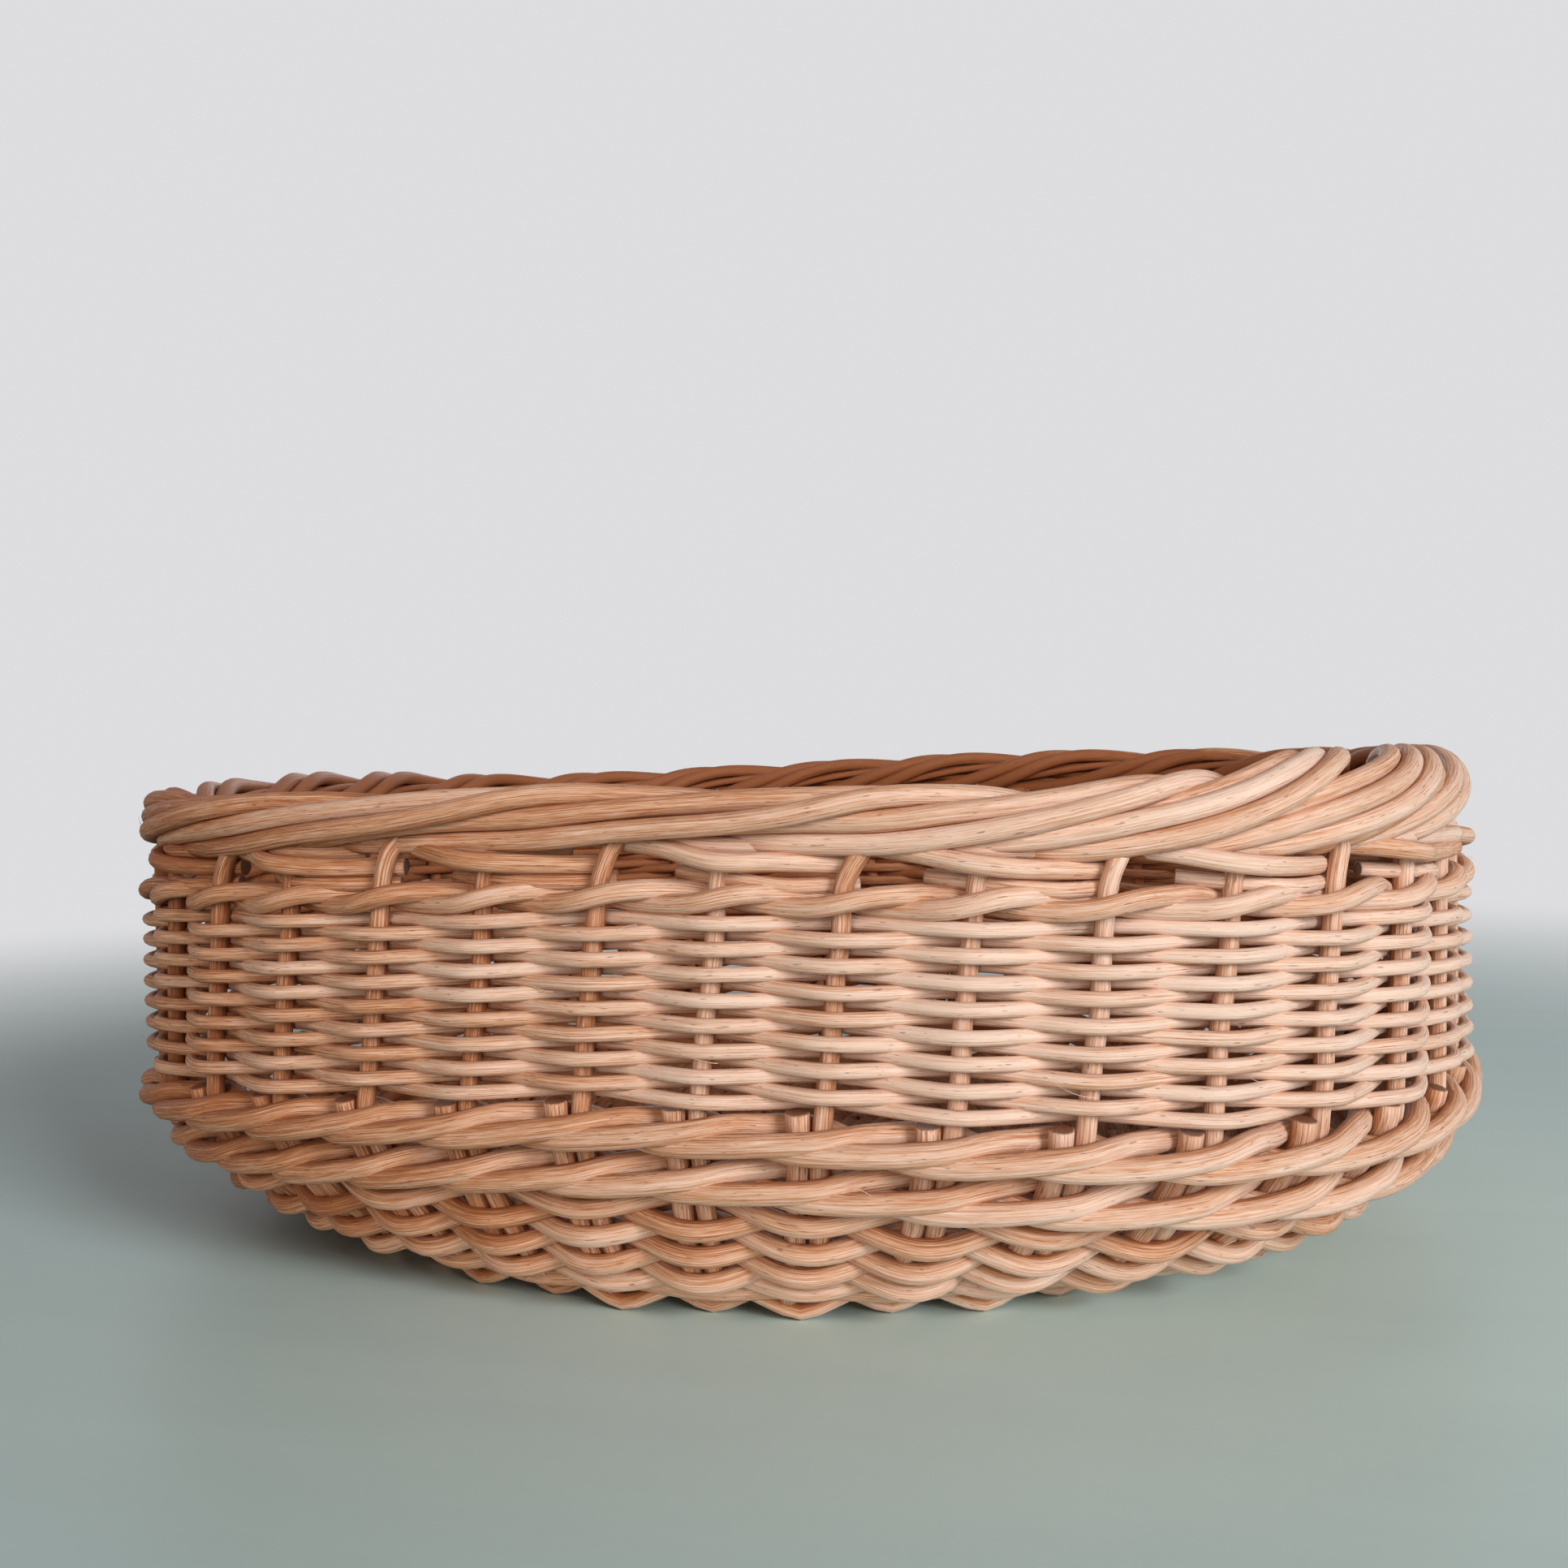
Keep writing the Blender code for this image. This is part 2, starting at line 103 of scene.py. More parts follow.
ROPE_NODES = [f"border_cane_{n}{c}" for n in "123" for c in "ab"]
BASE_MID = (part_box("base_mat")[0].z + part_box("base_mat")[1].z) / 2
WALE_TOP = top_of("wale_rod_1", "wale_rod_2", "wale_rod_3")
STUB_TOP = top_of("base_spokes")
SIDE_TOP = top_of("side_weaver_a", "side_weaver_b")
PAIRING_TOP = top_of("pairing_rod_a", "pairing_rod_b")
BAND_TOP = top_of("border_band")
PAIRING_MID = (SIDE_TOP + PAIRING_TOP) / 2
ROPE_MID = (BAND_TOP + top_of(*ROPE_NODES)) / 2
for name, value in (("floor", BASE_MID), ("pairing", PAIRING_MID), ("border", ROPE_MID)):
    print(f"{name} is centred {value * 1000:.1f} mm up")

# %% [markdown]
# ## The outline, counted in stakes
#
# Seen from above the rim is r = (|cos t / a|^n + |sin t / b|^n)^(-1/n). Equal steps of the
# angle t aren't equal lengths, so the length is added up once in a fine table, which every
# later step reads. The foot is a circle, so there the angle will do.

# %% Measure the outline
TABLE_STEPS = 4096


def plan_tables():
    """Running length in stakes, x and y, and the length from stake to stake."""
    turn = np.linspace(0, TURN, TABLE_STEPS + 1)
    across = np.abs(np.cos(turn) / WALL_HALF_LENGTH) ** WALL_SQUARENESS
    along = np.abs(np.sin(turn) / WALL_HALF_DEPTH) ** WALL_SQUARENESS
    radius = (across + along) ** (-1 / WALL_SQUARENESS)
    x, y = radius * np.cos(turn), radius * np.sin(turn)
    run = np.concatenate([[0], np.cumsum(np.hypot(np.diff(x), np.diff(y)))])
    return run / run[-1] * STAKES, x, y, run[-1] / STAKES


PLAN_RUN, PLAN_X, PLAN_Y, SPACING = plan_tables()


def wall_and_foot(place):
    """The oval's point and the foot's point at a place."""
    around = np.mod(place, STAKES)
    wall = np.stack([np.interp(around, PLAN_RUN, axis) for axis in (PLAN_X, PLAN_Y)], -1)
    turn = np.asarray(place) / STAKES * TURN
    return wall, BASE_RADIUS * np.stack([np.cos(turn), np.sin(turn)], -1)


def flare_depth(place):
    """Length of the flare in plan."""
    wall, foot = wall_and_foot(place)
    return np.linalg.norm(wall - foot, axis=-1)


FLARE_DEPTHS = flare_depth(np.arange(0, STAKES, 0.1))
SHALLOW, DEEP = FLARE_DEPTHS.min(), FLARE_DEPTHS.max()
print(f"stakes {SPACING * 1000:.1f} mm apart, flare {SHALLOW * 1000:.1f} to {DEEP * 1000:.1f} mm deep")

# %% [markdown]
# ## The skin as a formula
#
# Up the flare the foot and the wall are mixed by a rounded curve of the height. A sag that
# grows with the length of the flare lowers the weave at the corners. A formula is better
# here than a modelled surface: a cane can ask it for a point at any place and height, and
# for the way out of the basket there.

# %% The skin
SMALL_STEP, SMALL_RISE = 0.004, 0.0001


def ease(t):
    """0 to 1 with flat ends: 3t^2 - 2t^3."""
    t = np.clip(t, 0, 1)
    return t * t * (3 - 2 * t)


def rise_share(height):
    """0 at the floor and 1 at the flare's top."""
    return np.clip((height - BASE_MID) / (FLARE_HEIGHT - BASE_MID), 0, 1)


def flare_out(t):
    """Share of the way out from the foot to the wall, (1 - (1 - t)^p)^(1/p)."""
    return (1 - (1 - t) ** FLARE_ROUNDNESS) ** (1 / FLARE_ROUNDNESS)


def corner_share(place):
    """0 where the flare is shallowest and 1 where it's deepest."""
    return (flare_depth(place) - SHALLOW) / (DEEP - SHALLOW)


def sag(place, height):
    """Corner share * CORNER_SAG * ease(2t). Up the wall it falls to BORDER_SAG_SHARE of that."""
    corner = corner_share(place)
    wall = np.clip((height - FLARE_HEIGHT) / (PAIRING_MID - FLARE_HEIGHT), 0, 1)
    return CORNER_SAG * corner * ease(2 * rise_share(height)) * (1 - (1 - BORDER_SAG_SHARE) * wall)


def skin(place, height):
    """Foot + out * (wall - foot), lowered by the sag."""
    place, height = np.broadcast_arrays(np.asarray(place, float), np.asarray(height, float))
    wall, foot = wall_and_foot(place)
    out = flare_out(rise_share(height))[..., None]
    return np.concatenate([foot + out * (wall - foot), (height - sag(place, height))[..., None]], -1)


def unit(v):
    """Each vector divided by its own length."""
    return v / np.maximum(np.linalg.norm(v, axis=-1, keepdims=True), 1e-12)


def on_skin(place, height, out=0.0, side=0.0):
    """Skin point + out * normal + side * rim direction, and the normal, which is square to
    the skin. Directions are taken over a small step."""
    asked = (np.asarray(v, float) for v in (place, height, out, side))
    place, height, out, side = np.broadcast_arrays(*asked)
    along = unit(skin(place + SMALL_STEP, height) - skin(place - SMALL_STEP, height))
    above = np.maximum(height, BASE_MID + SMALL_RISE)
    up = unit(skin(place, above + SMALL_RISE) - skin(place, above - SMALL_RISE))
    normal = unit(np.cross(along, up))
    return skin(place, height) + out[..., None] * normal + side[..., None] * along, normal


def lean(height):
    """Stakes lean along the rim, in stakes: 0 at the flare and STAKE_LEAN at the top."""
    return STAKE_LEAN * np.maximum((np.asarray(height) - FLARE_HEIGHT) / (PAIRING_MID - FLARE_HEIGHT), 0)


print("border in front:", skin(STAKES * 3 / 4, ROPE_MID).round(4), "m")

# %% [markdown]
# ## From a line to a cane
#
# A cane is a round section carried along a line. The section stands square to the line,
# and the way out of the basket gives it a fixed direction, so it never twists. Real cane
# is never quite round or even, so the radius drifts. Three attributes go along for the
# material: where a point lies inside its own straight cane (grain), how pale or brown it
# is (tone), and where the cane was cut (cut). The tone is the cane's own random tone plus
# painted light and shade. The outer side is paler, partly as bleaching and partly as painted
# light. The side that faces inwards gets painted shade, so creases and the inside look darker.

# %% Slow random change along a cane
random_from = np.random.default_rng
DRIFT_WAVES, DRIFT_SIZES = np.array([1.0, 0.61, 0.37, 0.23]), np.array([0.45, 0.3, 0.2, 0.12])


def drift(length, wave, seed):
    """Four sines of unlike lengths and random phases, added up. It stays within about 1."""
    phases = random_from(seed).uniform(0, TURN, 4)
    waves = TURN * np.asarray(length)[..., None] / (wave * DRIFT_WAVES)
    return (DRIFT_SIZES * np.sin(waves + phases)).sum(-1)


print("drift over 10 cm:", drift(np.linspace(0, 0.1, 5), 0.07, 1).round(2))

# %% A round section along a line
# Painted light and shade in the tone. The outward side of a cane is paler, partly as bleaching and partly as
# painted light, and the inward side is darker as painted shade.
PAINTED_LIGHT_AND_BLEACH, SHADED = 0.24, 0.45
UNEVEN, OVAL, THREE_SIDED = 0.03, 0.03, 0.018
UNEVEN_WAVE, OVAL_WAVE, THREE_WAVE = 0.07, 0.11, 0.16
NODE_SWELL, NODE_HALF_WIDTH = 0.07, 0.00035
CUT_EDGE, CUT_SHARE = 0.10, 0.86
GRAIN_SPREAD = 9


def running_length(points):
    """Length along a line up to each of its points."""
    return np.concatenate([[0], np.cumsum(np.linalg.norm(np.diff(points, axis=0), axis=1))])


def section_axes(points, outward, closed):
    """The line's direction, upward = outward x direction, and facing = direction x upward."""
    ahead = np.roll(points, -1, 0) - np.roll(points, 1, 0) if closed else np.gradient(points, axis=0)
    forward = unit(ahead)
    upward = unit(np.cross(outward, forward))
    return forward, upward, np.cross(forward, upward)


def cut_ends(points, forward, radius):
    """Two rings at each end, the cut and its edge, and the old index of each ring."""
    first = [points[0] + forward[0] * radius[0] * d for d in (0, CUT_EDGE)]
    last = [points[-1] - forward[-1] * radius[-1] * d for d in (CUT_EDGE, 0)]
    return np.vstack([first, points[1:-1], last]), [0, 0, *range(1, len(radius) - 1), -1, -1]


def faces_of(count, sides, closed):
    """Quads from each ring to the next, and the two caps of an open cane."""
    row, side = np.meshgrid(np.arange(count if closed else count - 1), np.arange(sides), indexing="ij")
    here, there, turned = row * sides, (row + 1) % count * sides, (side + 1) % sides
    quads = np.stack([here + side, there + side, there + turned, here + turned], -1).reshape(-1, 4)
    last = range(count * sides - 1, (count - 1) * sides - 1, -1)
    return quads, [] if closed else [list(range(sides)), list(last)]


def tube(points, outward, radius, sides, tone, seed, closed=False, rings=()):
    """Ring of a point: centre + r (cos t * facing + sin t * upward). r drifts along the cane,
    is a little oval and three-sided, and swells at each length in rings."""
    forward, upward, facing = section_axes(points, outward, closed)
    length = running_length(points)
    radius = radius * (1 + UNEVEN * drift(length, UNEVEN_WAVE, seed))
    for ring in rings:
        radius = radius * (1 + NODE_SWELL * np.exp(-(((length - ring) / NODE_HALF_WIDTH) ** 2)))
    if not closed:
        points, keep = cut_ends(points, forward, radius)
        upward, facing, length, radius = upward[keep], facing[keep], length[keep], radius[keep]
        radius[[0, -1]] *= CUT_SHARE
    cut = np.zeros(len(length))
    cut[[0, -1]] = not closed
    turn = np.arange(sides) / sides * TURN
    own = random_from(seed + 7)
    twice = 2 * turn + 1.5 * drift(length, OVAL_WAVE, seed + 1)[:, None]
    thrice = 3 * turn + own.uniform(0, 6) + 2 * drift(length, THREE_WAVE, seed + 2)[:, None]
    lobes = 1 + OVAL * np.cos(twice) + THREE_SIDED * np.cos(thrice)
    across = radius[:, None] * lobes * np.cos(turn)
    upon = radius[:, None] * lobes * np.sin(turn)
    vertices = points[:, None] + across[..., None] * facing[:, None] + upon[..., None] * upward[:, None]
    if np.size(tone) > 1:
        tone = np.interp(length, np.linspace(0, length[-1], np.size(tone)), tone)
    # Painted shade on the side that faces inwards, and painted light with bleaching on the outer side.
    inside = np.maximum(-np.cos(turn), 0)
    brown = np.reshape(tone, (-1, 1)) - PAINTED_LIGHT_AND_BLEACH * np.cos(turn) + SHADED * inside
    offset = own.uniform(-GRAIN_SPREAD, GRAIN_SPREAD, 2)
    grain = np.stack([across + offset[0], upon + offset[1], length[:, None] + 0 * across], -1)
    quads, caps = faces_of(len(points), sides, closed)
    return {
        "vertices": vertices.reshape(-1, 3), "quads": quads, "caps": caps,
        "grain": grain.reshape(-1, 3), "tone": (brown + 0 * across).ravel(),
        "cut": np.repeat(cut, sides), "length": length[-1],
    }


print("faces of a cane of nine rings:", len(faces_of(9, 12, False)[0]) + 2)

# %% [markdown]
# ## From canes to a piece of the basket
#
# All the canes of one piece go into one mesh as whole arrays, which is fast. The sides are
# shaded smooth and the cut ends flat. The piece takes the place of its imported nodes. It
# also goes into a collection, so that a lamp can light the basket alone.

# %% Make one mesh of many canes
BASKET = bpy.data.collections.new("basket")
ATTRIBUTES = (("grain", "FLOAT_VECTOR", "vector"), ("tone", "FLOAT", "value"), ("cut", "FLOAT", "value"))


def piece(name, tubes, material, nodes=()):
    """One mesh object from many tubes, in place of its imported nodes."""
    starts = np.concatenate([[0], np.cumsum([len(t["vertices"]) for t in tubes])]).astype(int)
    vertices = np.concatenate([t["vertices"] for t in tubes])
    quads = np.concatenate([t["quads"] + s for t, s in zip(tubes, starts)])
    caps = [[v + int(s) for v in cap] for t, s in zip(tubes, starts) for cap in t["caps"]]
    mesh = bpy.data.meshes.new(name)
    mesh.from_pydata(vertices, [], quads.tolist() + caps)
    smooth = np.ones(len(mesh.polygons), bool)
    smooth[len(quads):] = False
    mesh.polygons.foreach_set("use_smooth", smooth)
    for key, kind, field in ATTRIBUTES:
        values = np.concatenate([t[key] for t in tubes]).astype(np.float32)
        mesh.attributes.new(key, kind, "POINT").data.foreach_set(field, values.ravel())
    mesh.materials.append(material)
    mesh.update()
    made = bpy.data.objects.new(name, mesh)
    SCENE.collection.objects.link(made)
    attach(made, BODY)
    BASKET.objects.link(made)
    if nodes:
        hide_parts(*nodes)
    print(f"{name}: {len(tubes)} canes, {sum(t['length'] for t in tubes):.2f} m, {2 * len(quads)} triangles")


print("each mesh gets the attributes", [key for key, _, _ in ATTRIBUTES])

# %% [markdown]
# ## Curves through a few knots
#
# A weaver's course is known at a few places: in front of this stake, behind that one. A
# smooth curve through such knots gives the rest. For plain weave a formula is shorter: a
# wave that runs straight between the uprights and bends hard round them.

# %% Curves for the canes' courses
def smooth_curve(knots, values, at):
    """Curve through rows of values: cubic Hermite pieces, whose slope at a knot is that of
    the line from the knot before to the knot after."""
    slopes = np.gradient(values, knots, axis=0)
    slopes[1:-1] = (values[2:] - values[:-2]) / (knots[2:] - knots[:-2])[:, None]
    i = np.clip(np.searchsorted(knots, at, side="right") - 1, 0, len(knots) - 2)
    width = (knots[i + 1] - knots[i])[:, None]
    t = (at - knots[i])[:, None] / width
    h00, h10 = 2 * t**3 - 3 * t**2 + 1, t**3 - 2 * t**2 + t
    h01, h11 = -2 * t**3 + 3 * t**2, t**3 - t**2
    return h00 * values[i] + h10 * width * slopes[i] + h01 * values[i + 1] + h11 * width * slopes[i + 1]


def wave_of(knots, values, period, at):
    """A repeating curve: the knots are laid out four times in a row and joined smoothly."""
    many = np.concatenate([np.asarray(knots) + period * k for k in (-1, 0, 1, 2)])
    return smooth_curve(many, np.tile(values, 4)[:, None], np.mod(at, period))[:, 0]


def bent(run, sharp):
    """Wave of a springy cane, 1 at even places and -1 at odd ones: asin(k cos(pi run)) /
    asin(k). With k near 1 the cane runs straight and bends hard."""
    return np.arcsin(sharp * np.cos(math.pi * run)) / math.asin(sharp)


print("a bent wave over one gap:", bent(np.linspace(0, 1, 5), 0.9).round(2))

# %% [markdown]
# ## Short words for shader nodes
#
# A material is a small network of nodes, and each one takes several lines to set up. A few
# helpers make a node, a colour ramp, a sum and a noise in one line each.

# %% Helpers for node materials
def put(tree, node, inputs):
    """Values or links into a node's sockets."""
    for key, value in inputs.items():
        if isinstance(value, bpy.types.NodeSocket):
            tree.links.new(value, node.inputs[key])
        else:
            node.inputs[key].default_value = value


def add_node(tree, kind, inputs=(), **settings):
    """A shader node with its settings and inputs."""
    made = tree.nodes.new("ShaderNode" + kind)
    for key, value in settings.items():
        setattr(made, key, value)
    put(tree, made, dict(inputs))
    return made


def ramp(tree, factor, stops):
    """Colours along a factor, from pairs of place and colour."""
    made = add_node(tree, "ValToRGB", {"Fac": factor})
    elements = made.color_ramp.elements
    for index, (place, colour) in enumerate(stops):
        stop = elements[index] if index < 2 else elements.new(place)
        stop.position, stop.color = place, (*colour, 1)
    return made.outputs["Color"]


def maths(tree, operation, *values, clamp=False):
    """One arithmetic node."""
    inputs = dict(enumerate(values))
    return add_node(tree, "Math", inputs, operation=operation, use_clamp=clamp).outputs[0]


def noise(tree, where, stretch, detail, rough):
    """Noise read at a point times a stretch, about 0.3 to 0.7."""
    scaled = add_node(tree, "VectorMath", {0: where, 1: stretch}, operation="MULTIPLY").outputs[0]
    inputs = {"Vector": scaled, "Scale": 1.0, "Detail": detail, "Roughness": rough}
    return add_node(tree, "TexNoise", inputs).outputs["Fac"]


def new_material(name):
    """A material, its node tree and its shader."""
    material = bpy.data.materials.new(name)
    material.use_nodes = True
    return material, material.node_tree, material.node_tree.nodes["Principled BSDF"]


print("helpers: put, add_node, ramp, maths, noise and new_material")

# %% [markdown]
# ## What rattan core looks like
#
# Peeled rattan is a bundle of fibres. It shows long thin lines, some paler and some brown,
# small dark pores drawn out along it, and slow changes of tone. A picture wrapped round
# the cane would show a seam. So the pattern is noise in three dimensions, read at the
# grain attribute and stretched along the cane. The lines and fibres drive the bump too.

# %% The rattan material
# Noise cells in a metre: across the cane, across it and along it. Colours are linear.
LINE_CELLS, FIBRE_CELLS = (2600, 2600, 22), (7500, 7500, 170)
MOTTLE_CELLS, PORE_CELLS = (45, 45, 16), (2400, 2400, 330)
LINE_STRENGTH, MOTTLE_STRENGTH = 1.5, 0.8
PORE_GAIN, PORE_START = 14.0, -9.6
PORE_DARK, CUT_DARK = 0.55, 0.75
SMOOTH_CANE, ROUGH_CANE, CANE_GLOSS = 0.46, 0.66, 0.4
BUMP_STRENGTH, BUMP_DISTANCE = 0.7, 0.0004
# Browner towards the left: partly sun fading, partly painted shade on the basket's left side.
FADE_AND_SHADE_PER_METRE, FADE_AND_SHADE_ENDS = -2.8, 0.07
CANE_COLOURS = (
    (0.0, (0.86, 0.64, 0.52)),
    (0.36, (0.75, 0.47, 0.33)),
    (0.68, (0.58, 0.265, 0.125)),
    (1.0, (0.34, 0.11, 0.036)),
)
CANE_DARK = (0.13, 0.042, 0.016)


def brownness(tree, shift, streak, lines, fibres):
    """0.5 + shift + streaks + slow mottle + the cane's own tone + browner to the left, partly sun fading and
    partly painted shade.
    """
    grain = add_node(tree, "Attribute", attribute_name="grain").outputs["Vector"]
    tone = add_node(tree, "Attribute", attribute_name="tone").outputs["Fac"]
    mottle = noise(tree, grain, MOTTLE_CELLS, 3.0, 0.6)
    # Painted shade: the left side is browner, partly as sun fading.
    place = add_node(tree, "TexCoord").outputs["Object"]
    x = add_node(tree, "SeparateXYZ", {0: place}).outputs["X"]
    to_left = maths(tree, "MINIMUM", x, FADE_AND_SHADE_ENDS)
    faded_and_shaded = maths(tree, "MULTIPLY_ADD", to_left, FADE_AND_SHADE_PER_METRE, -FADE_AND_SHADE_PER_METRE * FADE_AND_SHADE_ENDS)
    brown = 0.5 + shift
    line_strength = LINE_STRENGTH * streak
    for pattern, strength in ((lines, line_strength), (fibres, line_strength), (mottle, MOTTLE_STRENGTH)):
        brown = maths(tree, "MULTIPLY_ADD", maths(tree, "SUBTRACT", pattern, 0.5), strength, brown)
    return maths(tree, "ADD", maths(tree, "ADD", brown, tone), faded_and_shaded, clamp=True)


def cane_material(name, shift=0.0, streak=1.0):
    """Rattan core. Its brownness reads a ramp from pale straw to brown. Pores and cut ends
    darken it, and the lines, fibres and pores make the bump."""
    material, tree, shader = new_material(name)
    grain = add_node(tree, "Attribute", attribute_name="grain").outputs["Vector"]
    cut = add_node(tree, "Attribute", attribute_name="cut").outputs["Fac"]
    lines = noise(tree, grain, LINE_CELLS, 3.0, 0.65)
    fibres = noise(tree, grain, FIBRE_CELLS, 2.0, 0.6)
    pores = noise(tree, grain, PORE_CELLS, 1.0, 0.5)
    colour = ramp(tree, brownness(tree, shift, streak, lines, fibres), CANE_COLOURS)
    speck = maths(tree, "MULTIPLY_ADD", pores, PORE_GAIN, PORE_START, clamp=True)
    pore_dark = maths(tree, "MULTIPLY", speck, PORE_DARK)
    dark = maths(tree, "MAXIMUM", pore_dark, maths(tree, "MULTIPLY", cut, CUT_DARK))
    mixed = add_node(tree, "Mix", {"Factor": dark, 6: colour, 7: (*CANE_DARK, 1)}, data_type="RGBA")
    height = maths(tree, "MULTIPLY_ADD", fibres, 0.45, lines)
    height = maths(tree, "MULTIPLY_ADD", speck, -0.25, height)
    relief = {"Strength": BUMP_STRENGTH, "Distance": BUMP_DISTANCE, "Height": height}
    put(tree, shader, {
        "Base Color": mixed.outputs[2],
        "Roughness": maths(tree, "MULTIPLY_ADD", fibres, ROUGH_CANE - SMOOTH_CANE, SMOOTH_CANE),
        "Specular IOR Level": CANE_GLOSS,
        "Normal": add_node(tree, "Bump", relief).outputs["Normal"],
    })
    print("material", name, "with", len(tree.nodes), "nodes")
    return material


# %% [markdown]
# ## Four shades of cane
#
# The fine side weavers are the palest, and the stakes a little browner than the thick
# weavers, partly their own tone and partly painted shade. The floor's upper side gets the
# painted shade of a cane's inward side, so its canes are paler to begin with.

# %% The canes' materials
WEAVER_CANE = cane_material("weaver_cane", -0.16, streak=1.1)
THICK_CANE = cane_material("thick_cane")
# Browner stakes: their own tone and painted shade.
STAKE_CANE = cane_material("stake_cane", 0.06, streak=1.3)
FLOOR_CANE = cane_material("floor_cane", -0.16)

# %% [markdown]
# ## The floor: crossed spokes
#
# The maker slits eleven spokes, pushes ten through the slits, and so locks a cross. The
# spokes fan out from it, turn up at the foot and run on beside the stakes, up to stubs
# above the thick wale. Each spoke here is one cane from stub to stub.

# %% Make the spokes
SPOKE_RADIUS, STAKE_RADIUS = 0.0024, 0.0020
LENGTHWISE, CROSSWISE, CROSSING_PITCH = 11, 10, 0.0047
PAIR_SIDE = (SPOKE_RADIUS + STAKE_RADIUS) / 2 + 0.0001
STUB_STANDS, STUB_SWELL, STUB_LENGTH, STUB_LEAN = 0.0008, 0.06, 0.008, 0.0011
FLAT_POINTS, DOWN = 8, [0.0, 0, -1]


def arm(place, start, own):
    """Points from the crossing to a stub: straight to the foot, then up the skin."""
    top = WALE_TOP + STUB_STANDS * own.uniform(-0.3, 1.3)
    heights = BASE_MID + (top - BASE_MID) * np.linspace(0, 1, 14) ** 1.25
    lift = np.interp(heights, [WALE_TOP - STUB_LENGTH, top], [0, STUB_LEAN])
    points, normal = on_skin(place, heights, out=lift, side=-PAIR_SIDE)
    start = np.array([*start, BASE_MID])
    flat = np.linspace(0, 1, FLAT_POINTS + 1)[:-1, None]
    inner = start + flat * (points[0] - start)
    return np.vstack([inner, points]), np.vstack([np.tile(DOWN, (FLAT_POINTS, 1)), normal])


def spoke(ends, places, seed):
    """Two arms joined back to back."""
    own = random_from(seed)
    (one, face_one), (two, face_two) = (arm(p, e, own) for p, e in zip(places, ends))
    points = np.vstack([one[::-1], two])
    length = running_length(points)
    at = np.linspace(0, length[-1], 150)
    facing = unit(smooth_curve(length, np.vstack([face_one[::-1], face_two]), at))
    from_end = np.minimum(at, length[-1] - at)
    radius = SPOKE_RADIUS * (1 + STUB_SWELL * ease(1 - from_end / STUB_LENGTH))
    return tube(smooth_curve(length, points, at), facing, radius, 12, own.normal(0.03, 0.07), seed)


def make_spokes():
    """Eleven spokes along the basket and ten across. Row i runs from place i - 5 on the right
    to 26 - i on the left, and column i from 15 - i at the back to 27 + i in front."""
    rows = (np.arange(LENGTHWISE) - (LENGTHWISE - 1) / 2) * CROSSING_PITCH
    columns = (np.arange(CROSSWISE) - (CROSSWISE - 1) / 2) * CROSSING_PITCH
    half = CROSSWISE * CROSSING_PITCH / 2, LENGTHWISE * CROSSING_PITCH / 2
    spokes = []
    for i, y in enumerate(rows):
        spokes.append(spoke([(half[0], y), (-half[0], y)], (i - 5, 26 - i), 100 + i))
    for i, x in enumerate(columns):
        spokes.append(spoke([(x, half[1]), (x, -half[1])], (15 - i, 27 + i), 120 + i))
    return spokes


piece("base_spoke_canes", make_spokes(), STAKE_CANE, ["base_spokes"])

# %% [markdown]
# ## The floor: weaving
#
# Round the cross the weaver goes over and under the spokes. Near the middle they stand
# close, so it takes them two at a time, and further out one at a time with two weavers.
# Over and under is a wave in height, and the distance from the middle is a spiral. Its
# inner turns follow the square outline of the cross and grow round on the way out.

# %% Make the woven floor
FLOOR_RADIUS, FLOOR_PITCH, FLOOR_BITE = 0.0017, 0.0031, 0.0004
CROSS_SQUARENESS = 5.0
CROSS_EDGE, PAIRED_EDGE, FLOOR_EDGE = 0.0275, 0.060, 0.1290


def floor_row(run, radius, period, first, sharp, seed, tone):
    """Spiral, squared up near the cross by a superellipse. Its height is the middle minus a
    swing of both radii times the wave."""
    turn = run / STAKES * TURN
    square = np.interp(radius, [CROSS_EDGE, PAIRED_EDGE], [CROSS_SQUARENESS, 2.0])
    plan = radius * (np.abs(np.cos(turn)) ** square + np.abs(np.sin(turn)) ** square) ** (-1 / square)
    swing = (SPOKE_RADIUS + FLOOR_RADIUS - FLOOR_BITE) * bent((run + first) / period, sharp)
    points = np.stack([plan * np.cos(turn), plan * np.sin(turn), BASE_MID - swing], -1)
    return tube(points, np.tile(DOWN, (len(run), 1)), FLOOR_RADIUS, 8, tone, seed)


def make_floor():
    """Paired rounds by one weaver, then single rounds by two. These move out twice as fast,
    half a round apart, so the rows stay a pitch apart."""
    rounds = round((PAIRED_EDGE - CROSS_EDGE) / FLOOR_PITCH)
    run = np.arange(0, rounds * STAKES, 1 / 4)
    radius = CROSS_EDGE + run / STAKES * FLOOR_PITCH
    inner = [floor_row(run + 0.5, radius, 2, 0.5, 0.97, 201, 0.05)]
    outer = []
    for i in (0, 1):
        turns = np.arange(0, (FLOOR_EDGE - radius[-1]) / FLOOR_PITCH / 2, 1 / 6 / STAKES)
        run = (turns + i / 2) * STAKES
        outer.append(floor_row(run, radius[-1] + turns * 2 * FLOOR_PITCH, 1, i, 0.93, 203 + i, 0.02 * i))
    return inner, outer


INNER, OUTER = make_floor()
piece("floor_weave_inner", INNER, FLOOR_CANE, ["base_mat"])
piece("floor_weave_outer", OUTER, FLOOR_CANE, ["base_mat"])

# %% [markdown]
# ## The stakes
#
# Forty-two stakes stand beside the spokes and lean a little along the rim. Every second
# one bends over in front of the lower border, and the others go up behind it. All of them
# end inside the border. The bend at the top gets the most points.

